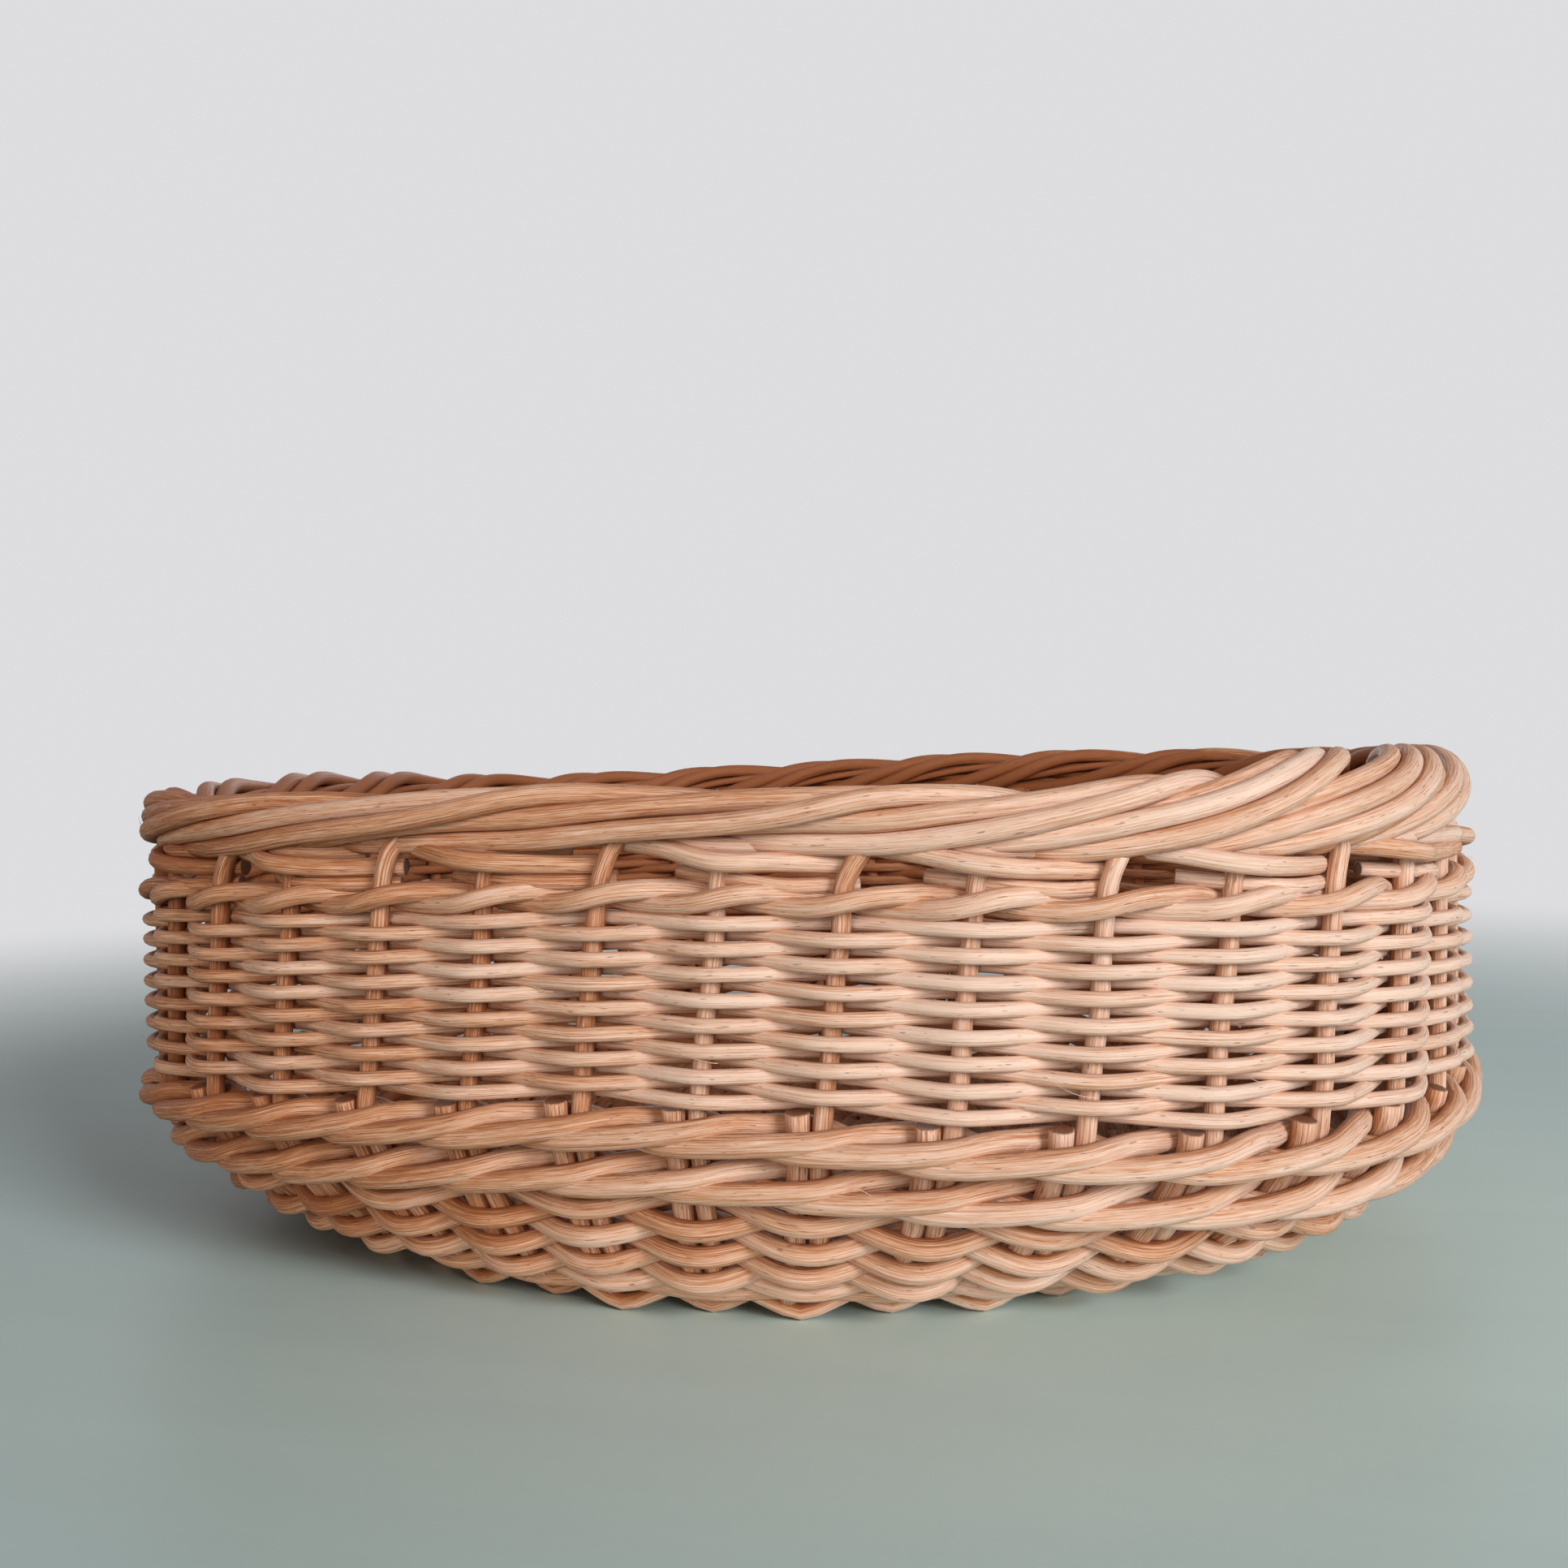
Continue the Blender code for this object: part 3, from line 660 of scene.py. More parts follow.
# %% Make the stakes
STAKE_BEND, EVEN_BEND = 0.34, 0.12
STAKE_TOPS, TIP_INWARD = (0.002, 0.0052), 0.0062
NODE_STAKES, NODE_BELOW_TIP = (31, 35, 12), (0.0085, 0.0078)


def stake(place):
    """A line up the skin. Along the rim it leans and bends by STAKE_BEND * share^1.6 where
    odd, with share 0 at the pairing and 1 in the border."""
    own = random_from(300 + place)
    odd = place % 2 == 1
    top = BAND_TOP + STAKE_TOPS[odd]
    low, high = np.linspace(BASE_MID + 0.001, PAIRING_MID, 34), np.linspace(PAIRING_MID, top, 22)
    heights = np.concatenate([low, high[1:]])
    share = np.clip((heights - PAIRING_MID) / (top - PAIRING_MID), 0, 1)
    bend = (STAKE_BEND * own.uniform(0.7, 1.25) if odd else EVEN_BEND) * share ** 1.6
    inward = -TIP_INWARD * ease((share - 0.5) * 2)
    sway = 0.0004 * drift(heights, 0.05, 340 + place)
    where = place + lean(np.minimum(heights, PAIRING_MID)) + bend
    points, normal = on_skin(where, heights, out=inward, side=PAIR_SIDE + sway)
    end = running_length(points)[-1]
    rings = [end - below for below in NODE_BELOW_TIP] if place in NODE_STAKES else []
    return tube(points, normal, STAKE_RADIUS, 12, own.normal(0.0, 0.07), 300 + place, rings=rings)


for number in range(STAKES):
    node = f"stake_{number + 1:02d}"
    piece("wall_" + node, [stake(number)], STAKE_CANE, [node])

# %% [markdown]
# ## Plain weave: one weaver after another
#
# Two weavers chase each other round. Each passes in front of one stake and behind the
# next, and the second does the opposite of the first. At the back, after each round, both
# step up by two rows. Now and then a weaver runs out: its end rests on the inside and the
# next weaver starts beside it.

# %% The plain weave's path
STEP_PLACE, STEP_GAPS = 10, 3


def level(run, gaps=STEP_GAPS):
    """Rounds done: whole rounds, plus an eased step in the last gaps of each."""
    whole = np.floor(run / STAKES + 1e-9)
    return whole + ease((run - whole * STAKES - (STAKES - gaps)) / gaps)


def cut_places(own, index, last, piece_gaps):
    """Places where a weaver runs out, each at a stake that it passes behind."""
    cuts, at = [], 0
    while True:
        at += int(own.integers(*piece_gaps))
        at += (at + index + 1) % 2
        if at > last - 12:
            return cuts
        cuts.append(at)


def weave(index, seed, height_of, rows, radius, reach, sharp, side, fine, piece_gaps, sag,
          first_reach=1.0, drop=0.0):
    """out = reach * bent wave, height = that of row index + 2 * level(run). Where a length ends,
    it turns inwards. fine is both the points a gap and the sides of the section."""
    last = (rows - index + 1) // 2 * STAKES - STEP_GAPS
    own = random_from(seed)
    cuts = cut_places(own, index, last, piece_gaps)
    tubes = []
    for i, (begin, end) in enumerate(zip([0, *cuts], [*cuts, last])):
        run = np.arange(begin - 0.3, end + 0.45, 1 / fine)
        row = index + 2 * level(np.clip(run, 0, last))
        where, length = run + STEP_PLACE, run * SPACING
        out = reach * (1 + 0.05 * drift(length, 0.15, seed + 31 * i)) * bent(run + index, sharp)
        out = out * (1 - (1 - first_reach) * np.clip(1.5 - row, 0, 1))
        inwards = 2 * radius * ease((run - (end - 0.65)) / 0.4) * (i < len(cuts))
        sway = sag * radius * drift(length, 0.10, seed + 37 * i + 5)
        height = height_of(row, where) + sway - drop * out / reach
        points, normal = on_skin(where + lean(height), height, out=out - inwards, side=side)
        tubes.append(tube(points, normal, radius, fine, own.normal(0, 0.10), seed + 41 * i))
    return tubes


print("rounds done after 38, 40.5 and 42 stakes:", level(np.array([38, 40.5, 42])).round(2))

# %% [markdown]
# ## Thick rows on the flare
#
# On the flare two thick weavers go round the pairs of a spoke and a stake. The rows lie
# evenly along the flare's curve, so their heights are looked up by its arc length. At the
# oval's corners the curve is longer, and the rows stand further apart.

# %% Make the lower rows on the flare
LOWER_RADIUS, LOWER_ROWS = 0.0022, 8
LOWER_REACH, FIRST_ARCS, LOWER_TOP = 0.0037, (0.0024, 0.0045), WALE_TOP - 0.0206
SHARES = np.linspace(0, 1, 400)


def row_height_table(depth):
    """Heights of evenly spaced rows on a flare of one depth, by arc length of its profile."""
    rise = SHARES * (FLARE_HEIGHT - BASE_MID)
    arc = np.concatenate([[0], np.cumsum(np.hypot(np.diff(flare_out(SHARES) * depth), np.diff(rise)))])
    top = np.interp(LOWER_TOP - BASE_MID, rise, arc)
    wanted = np.linspace(np.interp(depth, [SHALLOW, DEEP], FIRST_ARCS), top, LOWER_ROWS)
    return BASE_MID + np.interp(wanted, arc, rise)


def lower_height(row, place):
    """Row heights, mixed from those of the shallowest flare and of the deepest."""
    share = corner_share(place)
    low, high = (np.interp(row, np.arange(LOWER_ROWS), row_height_table(d)) for d in (SHALLOW, DEEP))
    return (1 - share) * low + share * high


for index, letter in enumerate("ab"):
    node = f"lower_weaver_{letter}"
    tubes = weave(index, 500 + 10 * index, lower_height, LOWER_ROWS, LOWER_RADIUS, LOWER_REACH, sharp=0.5,
                  side=0.0, fine=12, piece_gaps=(50, 75), sag=0.16, first_reach=0.15)
    piece(node + "_canes", tubes, THICK_CANE, [node])

# %% [markdown]
# ## Close rows of the wall
#
# Above the wale the spokes have ended, and two thin weavers go round the single stakes in
# fifteen rows of equal pitch. It's plain weave again, so the same function makes it.

# %% Make the close rows of the wall
SIDE_RADIUS, SIDE_ROWS, FRONT_DROP = 0.00156, 15, 0.0001
SIDE_PITCH = (SIDE_TOP - STUB_TOP) / SIDE_ROWS
SIDE_LOW = STUB_TOP + SIDE_PITCH / 2
SIDE_REACH = STAKE_RADIUS + SIDE_RADIUS


def side_height(row, place):
    """Rows of equal pitch."""
    return SIDE_LOW + SIDE_PITCH * row


for index, letter in enumerate("ab"):
    node = f"side_weaver_{letter}"
    tubes = weave(index, 600 + 10 * index, side_height, SIDE_ROWS, SIDE_RADIUS, SIDE_REACH, sharp=0.9,
                  side=PAIR_SIDE, fine=10, piece_gaps=(70, 120), sag=0.12, drop=FRONT_DROP)
    piece(node + "_canes", tubes, WEAVER_CANE, [node])

# %% [markdown]
# ## The wale: three rods in turn
#
# Above the flare three thick rods are woven together. Each passes in front of two stakes
# and behind one, a stake after the rod before it, and comes out from underneath the
# others, so its strokes slope up to the right. One stroke is a smooth curve through five
# knots, repeated every three stakes.

# %% Make the wale
WALE_RADIUS, WALE_RODS, WALE_ROUNDS = 0.0024, 3, 2
WALE_PITCH, WALE_SWING = 0.0092, 0.0019
WALE_REACH = SPOKE_RADIUS + WALE_RADIUS + 0.0001
WALE_LOW = WALE_TOP - WALE_RADIUS - WALE_SWING - WALE_PITCH
STROKE_KNOTS = (0, 0.5, 1, 2, 2.5)
STROKE_OUT, STROKE_RISE = (-1, -0.1, 0.95, 1.0, 0.1), (0, -1, -0.6, 0.6, 1)


def lengths(points, normal, cuts, radius, tone_seed, tones, seed):
    """A rod cut into lengths at some of its points, each in its own tone."""
    own = random_from(tone_seed)
    return [tube(points[a:b], normal[a:b], radius, 12, own.normal(*tones), seed + i)
            for i, (a, b) in enumerate(zip(cuts, cuts[1:]))]


def wale_rod(rod):
    """out and rise along a stroke. Each round climbs to the next in its last two gaps."""
    run = np.arange(rod, WALE_ROUNDS * STAKES - 0.5, 1 / 12)
    phase = run - rod
    out = WALE_REACH * wave_of(STROKE_KNOTS, STROKE_OUT, WALE_RODS, phase)
    rise = WALE_SWING * wave_of(STROKE_KNOTS, STROKE_RISE, WALE_RODS, phase)
    sway = 0.0003 * drift(run * SPACING, 0.13, 700 + rod)
    height = WALE_LOW + level(run, 2) * WALE_PITCH + rise + sway
    points, normal = on_skin(run + STEP_PLACE + lean(height), height, out=out)
    cuts = [0, int(len(run) * (0.42 + 0.07 * rod)), len(run)]
    return lengths(points, normal, cuts, WALE_RADIUS, 710 + rod, (0.10, 0.09), 720 + 5 * rod)


for rod in range(WALE_RODS):
    node = f"wale_rod_{rod + 1}"
    piece(node + "_canes", wale_rod(rod), THICK_CANE, [node])

# %% [markdown]
# ## Pairing below the border
#
# Two rods twist round each other between the stakes. Each goes in front of every second
# stake, so out is a wave like the cosine of the run, and the height is a sine.

# %% Make the pairing
PAIRING_RADIUS, PAIRING_SWING = 0.0021, 0.0014
PAIRING_CENTRE, PAIRING_CUTS = PAIRING_MID - 0.0010, (10, 34)
PAIRING_REACH = STAKE_RADIUS + PAIRING_RADIUS - 0.0004


def pairing_rod(rod):
    """out = -reach * bent wave and height = middle - swing * sin(pi run), a little uneven."""
    run = np.arange(-0.2, STAKES + 0.4, 1 / 12)
    out = -PAIRING_REACH * bent(run, 0.6)
    lag = 0.06 * np.sin(TURN * run)
    sway = 0.0003 * drift(run * SPACING, 0.11, 810 + rod)
    height = PAIRING_CENTRE - PAIRING_SWING * np.sin(math.pi * (run + lag)) + sway
    points, normal = on_skin(STEP_PLACE + rod + run + lean(PAIRING_MID), height, out=out, side=PAIR_SIDE)
    cuts = [0, int(12 * (PAIRING_CUTS[rod] + 0.2)), len(run)]
    return lengths(points, normal, cuts, PAIRING_RADIUS, 800 + rod, (0, 0.08), 820 + 3 * rod)


for index, letter in enumerate("ab"):
    node = f"pairing_rod_{letter}"
    piece(node + "_canes", pairing_rod(index), THICK_CANE, [node])

# %% [markdown]
# ## The lower border: tucked tails
#
# From under the upper border a pair of canes comes down past every second stake. It
# passes in front of the stake between and ends, cut off, behind the second one. A
# thinner third tail shows below. Each is a short cane through a few knots.

# %% Make the tucked tails
BAND_RADIUS, BAND_MID = 0.0020, (PAIRING_TOP + BAND_TOP) / 2 - 0.0014
BAND_REACH = STAKE_RADIUS + BAND_RADIUS
LONG_ENDS, LONG_PAST = 37, 0.45
# Knots: stakes along the rim, share of the reach outwards, millimetres above the band's middle.
MAIN_TAIL = ((-0.55, -1.0, 6.4), (-0.2, -0.9, 4.9), (0.1, -1.05, 3.8), (0.55, 0.1, 2.2), (1.0, 1.0, 0.7),
             (1.45, 0.3, -0.2))
UPPER_TAIL = ((-0.7, -0.5, 7.4), (-0.3, -1.0, 6.8), (0.05, -1.1, 6.0), (0.5, -0.4, 4.6), (0.95, 0.1, 3.4),
              (1.35, -0.4, 2.9))
UNDER_TAIL = ((0.62, -1.3, -2.6), (1.2, 0.1, -3.6), (1.6, 0.1, -4.3), (2.1, -1.0, -4.0))


def tail(place, knots, radius, tone, seed):
    """A smooth curve through knots, counted from a stake that the band passes behind."""
    knots = np.array(knots) * (1, BAND_REACH, 0.001)
    own = random_from(seed)
    knots[:, 2] += own.normal(0, 0.0002, len(knots))
    knots[1:-1, 0] += own.normal(0, 0.04, len(knots) - 2)
    at = np.linspace(knots[0, 0], knots[-1, 0], int((knots[-1, 0] - knots[0, 0]) * 14))
    out, height = smooth_curve(knots[:, 0], knots[:, 1:], at).T
    points, normal = on_skin(place + at + lean(PAIRING_MID), BAND_MID + height, out=out, side=PAIR_SIDE)
    return tube(points, normal, radius, 12, tone, seed)


def tails_of(place):
    """The three tails that start at one odd stake. At LONG_ENDS they run on further."""
    own = random_from(900 + place)
    past = LONG_PAST if place == LONG_ENDS else 0.0
    main = (*MAIN_TAIL, (2.06 + own.uniform(-0.04, 0.12) + past, 3 * past - 0.95, -0.7))
    upper = (*UPPER_TAIL, (1.7 + 1.8 * past, 4 * past - 1.3, 2.4))
    shapes = zip((main, upper, UNDER_TAIL), (1, 0.95, 0.8), own.normal(0.0, 0.1, 3))
    return [tail(place, knots, BAND_RADIUS * share, tone, 1000 + 3 * place + i)
            for i, (knots, share, tone) in enumerate(shapes)]


TAILS = [one for place in range(1, STAKES, 2) for one in tails_of(place)]
piece("border_tail_canes", TAILS, THICK_CANE, ["border_band"])

# %% [markdown]
# ## The upper border: three strands of two canes
#
# The border is a rope of three strands, and each strand is a pair of canes side by side.
# A strand climbs slowly across the outer face, goes over the top, and drops quickly down
# the inside. That is a helix whose angle lags: it turns slower outside than inside. The
# rope isn't even. Its height, thickness, inset and rate of turning are given at fifteen
# places, and run smoothly from one to the next.

# %% The border's helix
ROPE_CANE_RADIUS, ROPE_HALF_WIDTH = 0.00225, 0.0078
ROPE_TURNS, ROPE_FACE_PLACE, ROPE_LAG, ROPE_DIVE = 7, 33.9, 0.50, 0.24
SIDE_BY_SIDE = 2.04 * ROPE_CANE_RADIUS
RIM_PLACES = (0, 4, 8, 12, 16, 20, 24, 27, 30, 33, 34.6, 35.6, 36.8, 38.4, 40)
RIM_LIFTS_MM = (1.0, 2.8, 2.0, -0.5, -1.3, 0.2, -1.6, -3.4, -3.7, -4.2, -4.3, -3.4, -1.0, -0.2, 0.4)
RIM_HALF_HEIGHTS_MM = (9.0, 8.3, 8.0, 7.8, 7.8, 7.8, 7.6, 7.2, 6.5, 6.4, 7.6, 8.8, 11.0, 11.4, 10.2)
RIM_INSETS_MM = (4.4, *[2.8] * 10, 2.9, 3.7, 5.0, 5.4)
TURN_RATES = (*[1.1] * 5, 1.05, 0.95, 0.75, 0.65, 0.75, 1.05, 1.2, 1.25, 1.2, 1.15)


def around(values):
    """A smooth curve round the rim through values in millimetres, as metres."""
    return 0.001 * wave_of(RIM_PLACES, values, STAKES, ROPE_PLACE)


def turned(place):
    """Turns since ROPE_FACE_PLACE: the running sum of TURN_RATES, scaled to ROPE_TURNS a
    round. Where the rate is low, a strand stays longer on the outer face."""
    grid = np.arange(0, STAKES * 10 + 1) / 10
    rates = wave_of(RIM_PLACES, TURN_RATES, STAKES, grid[1:] - 0.05)
    run = np.concatenate([[0], np.cumsum(rates)])
    run *= ROPE_TURNS / run[-1]
    return np.interp(place, grid, run) - np.interp(ROPE_FACE_PLACE, grid, run)


ROPE_PLACE = np.arange(STAKES * 10) / 10
ROPE_SIZE = around(RIM_HALF_HEIGHTS_MM) - ROPE_CANE_RADIUS
ROPE_TURN = turned(ROPE_PLACE)


def helix(strand, cane, size):
    """Angle = even turn - lag * sin(even turn), and half a cane's width to either side.
    out = size * cos and height = size * sin, but flatter inside the basket. The size grows
    as 1 + dive * sin(angle), so a strand starts under the one above it."""
    even = TURN * (ROPE_TURN + strand / 3)
    middle = even - ROPE_LAG * np.sin(even)
    angle = middle + cane * SIDE_BY_SIDE / size
    grown = 1 + ROPE_DIVE * np.sin(middle)
    wide = np.maximum(size, ROPE_HALF_WIDTH - ROPE_CANE_RADIUS)
    return np.stack([wide * grown * np.cos(angle), size * (grown * np.sin(angle) - ROPE_DIVE)], -1)


print("turns of the rope in each quarter:", np.diff(turned(np.linspace(0, STAKES, 5))).round(2))

# %% [markdown]
# ## Settling the six canes
#
# Canes laid by the formula alone would cross in places. So the sections of all six are
# settled together: two that are too close push each other away, and each is drawn back
# towards its own helix, many times over. On the inside of the basket the canes get painted
# shade, a browner tone.

# %% Make the border
PULL, PUSH, SETTLING_ROUNDS = 0.06, 0.42, 160
# Painted shade on the border's inside: how much browner it gets, and over what depth it comes in.
INSIDE_PAINTED_SHADE, INSIDE_SHADE_DEPTH = 0.9, 0.005


def settle(wanted, apart):
    """Each round: a pull to the wanted place, a push apart, and a smoothing."""
    at = wanted.copy()
    for _ in range(SETTLING_ROUNDS):
        at += PULL * (wanted - at)
        push = np.zeros_like(at)
        for i in range(len(at)):
            gap = at[i][None] - at
            far = np.linalg.norm(gap, axis=-1)
            far[i] = 1.0
            need = np.maximum(apart - far, 0)[..., None]
            push[i] = (gap / far[..., None] * need).sum(0)
        at += PUSH * push
        at = 0.25 * np.roll(at, 1, 1) + 0.5 * at + 0.25 * np.roll(at, -1, 1)
    return at


def make_rope():
    """The six canes of the three strands, settled, at ten places a stake."""
    sizes = [ROPE_SIZE * (1 + 0.04 * drift(ROPE_PLACE * SPACING, 0.31, 1200 + i)) for i in range(3)]
    wanted = [helix(strand, cane, sizes[strand]) for strand in range(3) for cane in (-0.5, 0.5)]
    return settle(np.array(wanted), 2.03 * ROPE_CANE_RADIUS)


def rope_line(across):
    """Points of a border cane from its places across the rope."""
    out = across[:, 0] - around(RIM_INSETS_MM)
    points, normal = on_skin(ROPE_PLACE, ROPE_MID, out=out, side=PAIR_SIDE)
    points[:, 2] += around(RIM_LIFTS_MM) + across[:, 1]
    return points, normal


ROPE_AT = make_rope()
print("the border bulges inwards to", (ROPE_AT[..., 0].min() * 1000).round(1), "mm")
for number, name in enumerate(ROPE_NODES):
    points, normal = rope_line(ROPE_AT[number])
    # Painted shade where the cane lies on the basket's inside.
    inside = ease(-ROPE_AT[number][:, 0] / INSIDE_SHADE_DEPTH)
    tone = random_from(1300 + number).normal(0.0, 0.09) + INSIDE_PAINTED_SHADE * inside
    made = tube(points, normal, ROPE_CANE_RADIUS, 14, tone, 1310 + number, closed=True)
    piece(name + "_cane", [made], THICK_CANE, [name])

# %% [markdown]
# ## Ends inside the border
#
# The ends of the stakes and of the border's own canes run on inside the rope. At the right
# front corner, where the maker finished, they come out to the surface and thicken it. So
# each cane here keeps near the middle and comes out to the face over a few stakes.

# %% Make the ends inside the border
CORE_RADIUS, CORE_THINNEST, CORE_REACH = 0.0021, 0.6, 0.0022
CORNER_PLACE, CORNER_WIDTH, CORNER_REACH = 37.8, 2.2, 0.97


def inner_end(strand):
    """Size = CORE_REACH, and near the corner most of the rope's own, by exp(-(d / width)^4)."""
    share = np.exp(-(((ROPE_PLACE - CORNER_PLACE) / CORNER_WIDTH) ** 4))
    core = CORE_REACH / ROPE_SIZE
    across = helix(strand, 1.5, ROPE_SIZE) * (core + share * (CORNER_REACH - core))[:, None]
    radius = CORE_RADIUS * (CORE_THINNEST + (1 - CORE_THINNEST) * share)
    return tube(*rope_line(across), radius, 12, 0.25, 1350 + strand, closed=True)


piece("border_inner_ends", [inner_end(strand) for strand in range(3)], THICK_CANE)

# %% [markdown]
# ## Loose fibres
#
# Peeled cane sheds hairs, thin and pale, that catch the light at edges. So a few dozen are
# laid on the outside, each a short arc that leaves a cane and curls away from it.

# %% Make the loose fibres
FIBRE_RADIUS, FIBRES = 0.00007, 90


def fibre(seed):
    """A short arc: start + t * along + t^2 * curl, lifted off the skin."""
    own = random_from(seed)
    place, height = own.uniform(0, STAKES), own.uniform(0.018, ROPE_MID + 0.002)
    t = np.linspace(0, 1, 9)
    length = own.uniform(0.003, 0.009)
    run = own.choice([-1, 1]) * length * t / SPACING
    lift = (0.0052 if height < 0.04 else 0.0044) + length * own.uniform(0.05, 0.35) * t**1.5
    points, normal = on_skin(place + run, height + own.uniform(-0.5, 0.5) * length * t**2, out=lift)
    return tube(points, normal, FIBRE_RADIUS * (1.2 - 0.9 * t), 4, -0.35, seed)


piece("loose_fibres", [fibre(1400 + i) for i in range(FIBRES)], WEAVER_CANE)

# %% [markdown]
# ## The floor of the set
#
# The basket stands on plain pale paint, which fades into the background's colour further
# out, so that no horizon shows. Only the camera sees that colour. For the light the floor
# goes on as paint.

# %% Make the floor of the set
FLOOR_COLOUR, BACK_COLOUR = (0.76, 0.97, 0.92), (0.725, 0.725, 0.74)
FADE_FROM, FADE_TO, SET_RADIUS, SET_SIDES = 0.30, 0.95, 8, 96


def floor_material():
    """Pale paint. Beyond a radius the camera sees the background colour instead."""
    material, tree, shader = new_material("pale_floor")
    place = add_node(tree, "TexCoord").outputs["Object"]
    far = add_node(tree, "VectorMath", {0: place}, operation="LENGTH").outputs["Value"]
    span = {"Value": far, "From Min": FADE_FROM, "From Max": FADE_TO}
    fade = add_node(tree, "MapRange", span, interpolation_type="SMOOTHSTEP").outputs[0]
    mottled = noise(tree, place, (9, 40, 9), 4.0, 0.6)
    paint = ramp(tree, mottled, ((0.3, [c * 0.96 for c in FLOOR_COLOUR]), (0.7, FLOOR_COLOUR)))
    put(tree, shader, {"Base Color": paint, "Roughness": 0.42, "Specular IOR Level": 0.35})
    glow = add_node(tree, "Emission", {"Color": (*BACK_COLOUR, 1), "Strength": 1.0})
    seen = maths(tree, "MULTIPLY", fade, add_node(tree, "LightPath").outputs["Is Camera Ray"])
    blend = add_node(tree, "MixShader", {0: seen, 1: shader.outputs[0], 2: glow.outputs[0]})
    put(tree, tree.nodes["Material Output"], {"Surface": blend.outputs[0]})
    return material


turn = np.arange(SET_SIDES) * (TURN / SET_SIDES)
disc = np.stack([SET_RADIUS * np.cos(turn), SET_RADIUS * np.sin(turn), 0 * turn], -1)
floor_mesh = bpy.data.meshes.new("floor")
floor_mesh.from_pydata(disc, [], [list(range(SET_SIDES))])
floor_mesh.materials.append(floor_material())
floor = bpy.data.objects.new("floor", floor_mesh)
SCENE.collection.objects.link(floor)
floor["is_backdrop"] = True
print("floor of the set:", 2 * SET_RADIUS, "m across")

# %% [markdown]
# ## Three lamps
#
# One large soft lamp at the right front gives the form and the shadow. A warm lamp in
# front and one behind fill what is left dark. Light linking lets those two light the
# basket alone, so the shadow on the floor stays deep. The camera doesn't see a lamp.

# %% Place the lamps
AIM = (0, 0, 0.05)


def lamp(name, place, power, size, colour, receivers=None):
    """A square area lamp that faces the basket. With receivers, it lights only those."""
    data = bpy.data.lights.new(name, "AREA")
    data.energy, data.size, data.color = power, size, colour
    made = bpy.data.objects.new(name, data)
    made.location, made.visible_camera = place, False
    made.light_linking.receiver_collection = receivers
    towards = np.array(AIM) - np.array(place)
    made.rotation_euler = Vector(towards).to_track_quat("-Z", "Y").to_euler()
    SCENE.collection.objects.link(made)
    print(f"{name}: {power} W, {np.linalg.norm(towards):.2f} m away")


lamp("key_lamp", (1.42, -1.12, 0.70), 25.5, 0.7, (0.98, 0.98, 1.0))
lamp("fill_lamp", (0.0, -1.8, 0.5), 11.5, 0.8, (1.0, 0.82, 0.68), BASKET)
lamp("back_lamp", (-0.6, 1.8, 0.5), 8.0, 0.8, (1.0, 0.97, 0.94), BASKET)

# %% [markdown]
# ## A pale world that gives little light
#
# A world as bright as the picture's pale background would wash out all shadows. So the
# camera and mirror rays get the pale colour, and every other ray gets a dim, slightly
# blue light.

# %% Make the world
WORLD_LIGHT, WORLD_STRENGTH = (0.96, 0.97, 1.0), 0.07


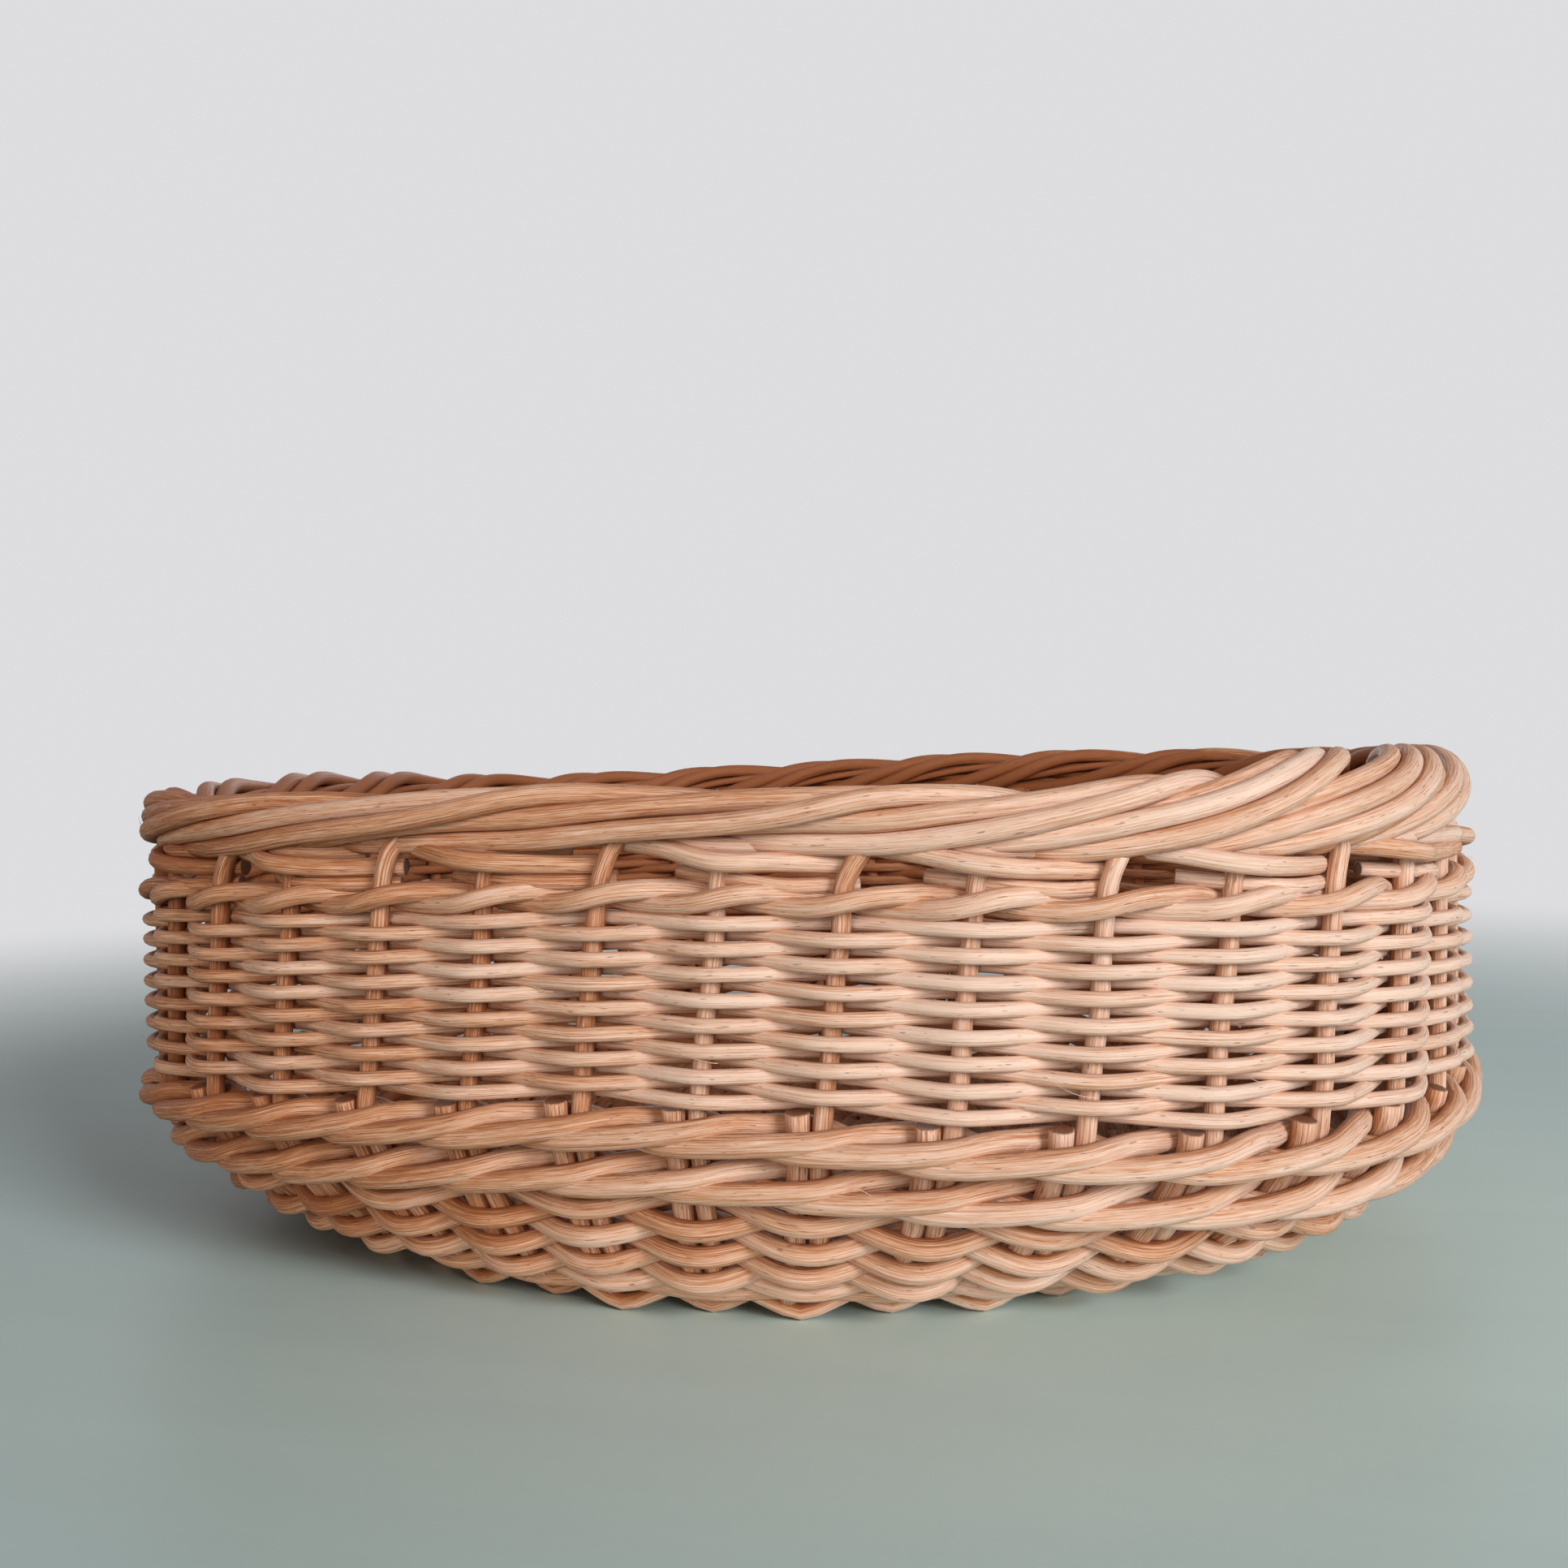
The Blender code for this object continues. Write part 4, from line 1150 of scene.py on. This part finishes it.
def pale_world():
    """Two backgrounds, mixed by the kind of ray."""
    world = bpy.data.worlds.new("pale_world")
    world.use_nodes = True
    tree, shown = world.node_tree, world.node_tree.nodes["Background"]
    put(tree, shown, {"Color": (*BACK_COLOUR, 1)})
    light = add_node(tree, "Background", {"Color": (*WORLD_LIGHT, 1), "Strength": WORLD_STRENGTH})
    path = add_node(tree, "LightPath")
    seen = maths(tree, "MAXIMUM", path.outputs["Is Camera Ray"], path.outputs["Is Glossy Ray"])
    blend = add_node(tree, "MixShader", {0: seen, 1: light.outputs[0], 2: shown.outputs[0]})
    put(tree, tree.nodes["World Output"], {"Surface": blend.outputs[0]})
    SCENE.world = world


pale_world()
print("the world shows", BACK_COLOUR, "and lights with strength", WORLD_STRENGTH)

# %% [markdown]
# ## The camera
#
# It looks at the long front from slightly right of the middle, a little above the rim.
# Place, turn and lens come from matching the stakes' feet and tops to the reference view.

# %% Place the camera
CAMERA_PLACE = (0.118, -0.4406, 0.1155)
CAMERA_YAW, CAMERA_PITCH, CAMERA_ROLL = 0.2810, 0.0143, -0.018
LENS_MM, SENSOR_MM = 36.6, 36.0


def aim_camera():
    """Turn about the upright axis, then down, then about the line of sight."""
    data = bpy.data.cameras.new("camera")
    data.lens, data.sensor_width, data.sensor_fit = LENS_MM, SENSOR_MM, "HORIZONTAL"
    data.clip_start = 0.01
    camera = bpy.data.objects.new("camera", data)
    camera.location = CAMERA_PLACE
    level = math.cos(CAMERA_PITCH)
    right = Vector((math.cos(CAMERA_YAW), math.sin(CAMERA_YAW), 0))
    ahead = Vector((-right.y * level, right.x * level, -math.sin(CAMERA_PITCH)))
    up = right.cross(ahead)
    roll_cos, roll_sin = math.cos(CAMERA_ROLL), math.sin(CAMERA_ROLL)
    right, up = right * roll_cos + up * roll_sin, up * roll_cos - right * roll_sin
    rows = [[right[i], up[i], -ahead[i]] for i in range(3)]
    camera.rotation_euler = Matrix(rows).to_euler()
    SCENE.collection.objects.link(camera)
    SCENE.camera = camera
    SCENE.view_settings.view_transform = "Standard"


aim_camera()
print("camera at", CAMERA_PLACE)

# %% [markdown]
# ## Sizes
#
# The imported basket's box and these canes' box are printed side by side.

# %% Print the sizes
def plain(box):
    """A box's two corners as plain lists."""
    return [list(map(float, corner)) for corner in box]


NEW_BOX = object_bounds()
for name, box in (("packed", CAD_BOX), ("canes", NEW_BOX)):
    print(name, [[round(1000 * v, 1) for v in corner] for corner in plain(box)])
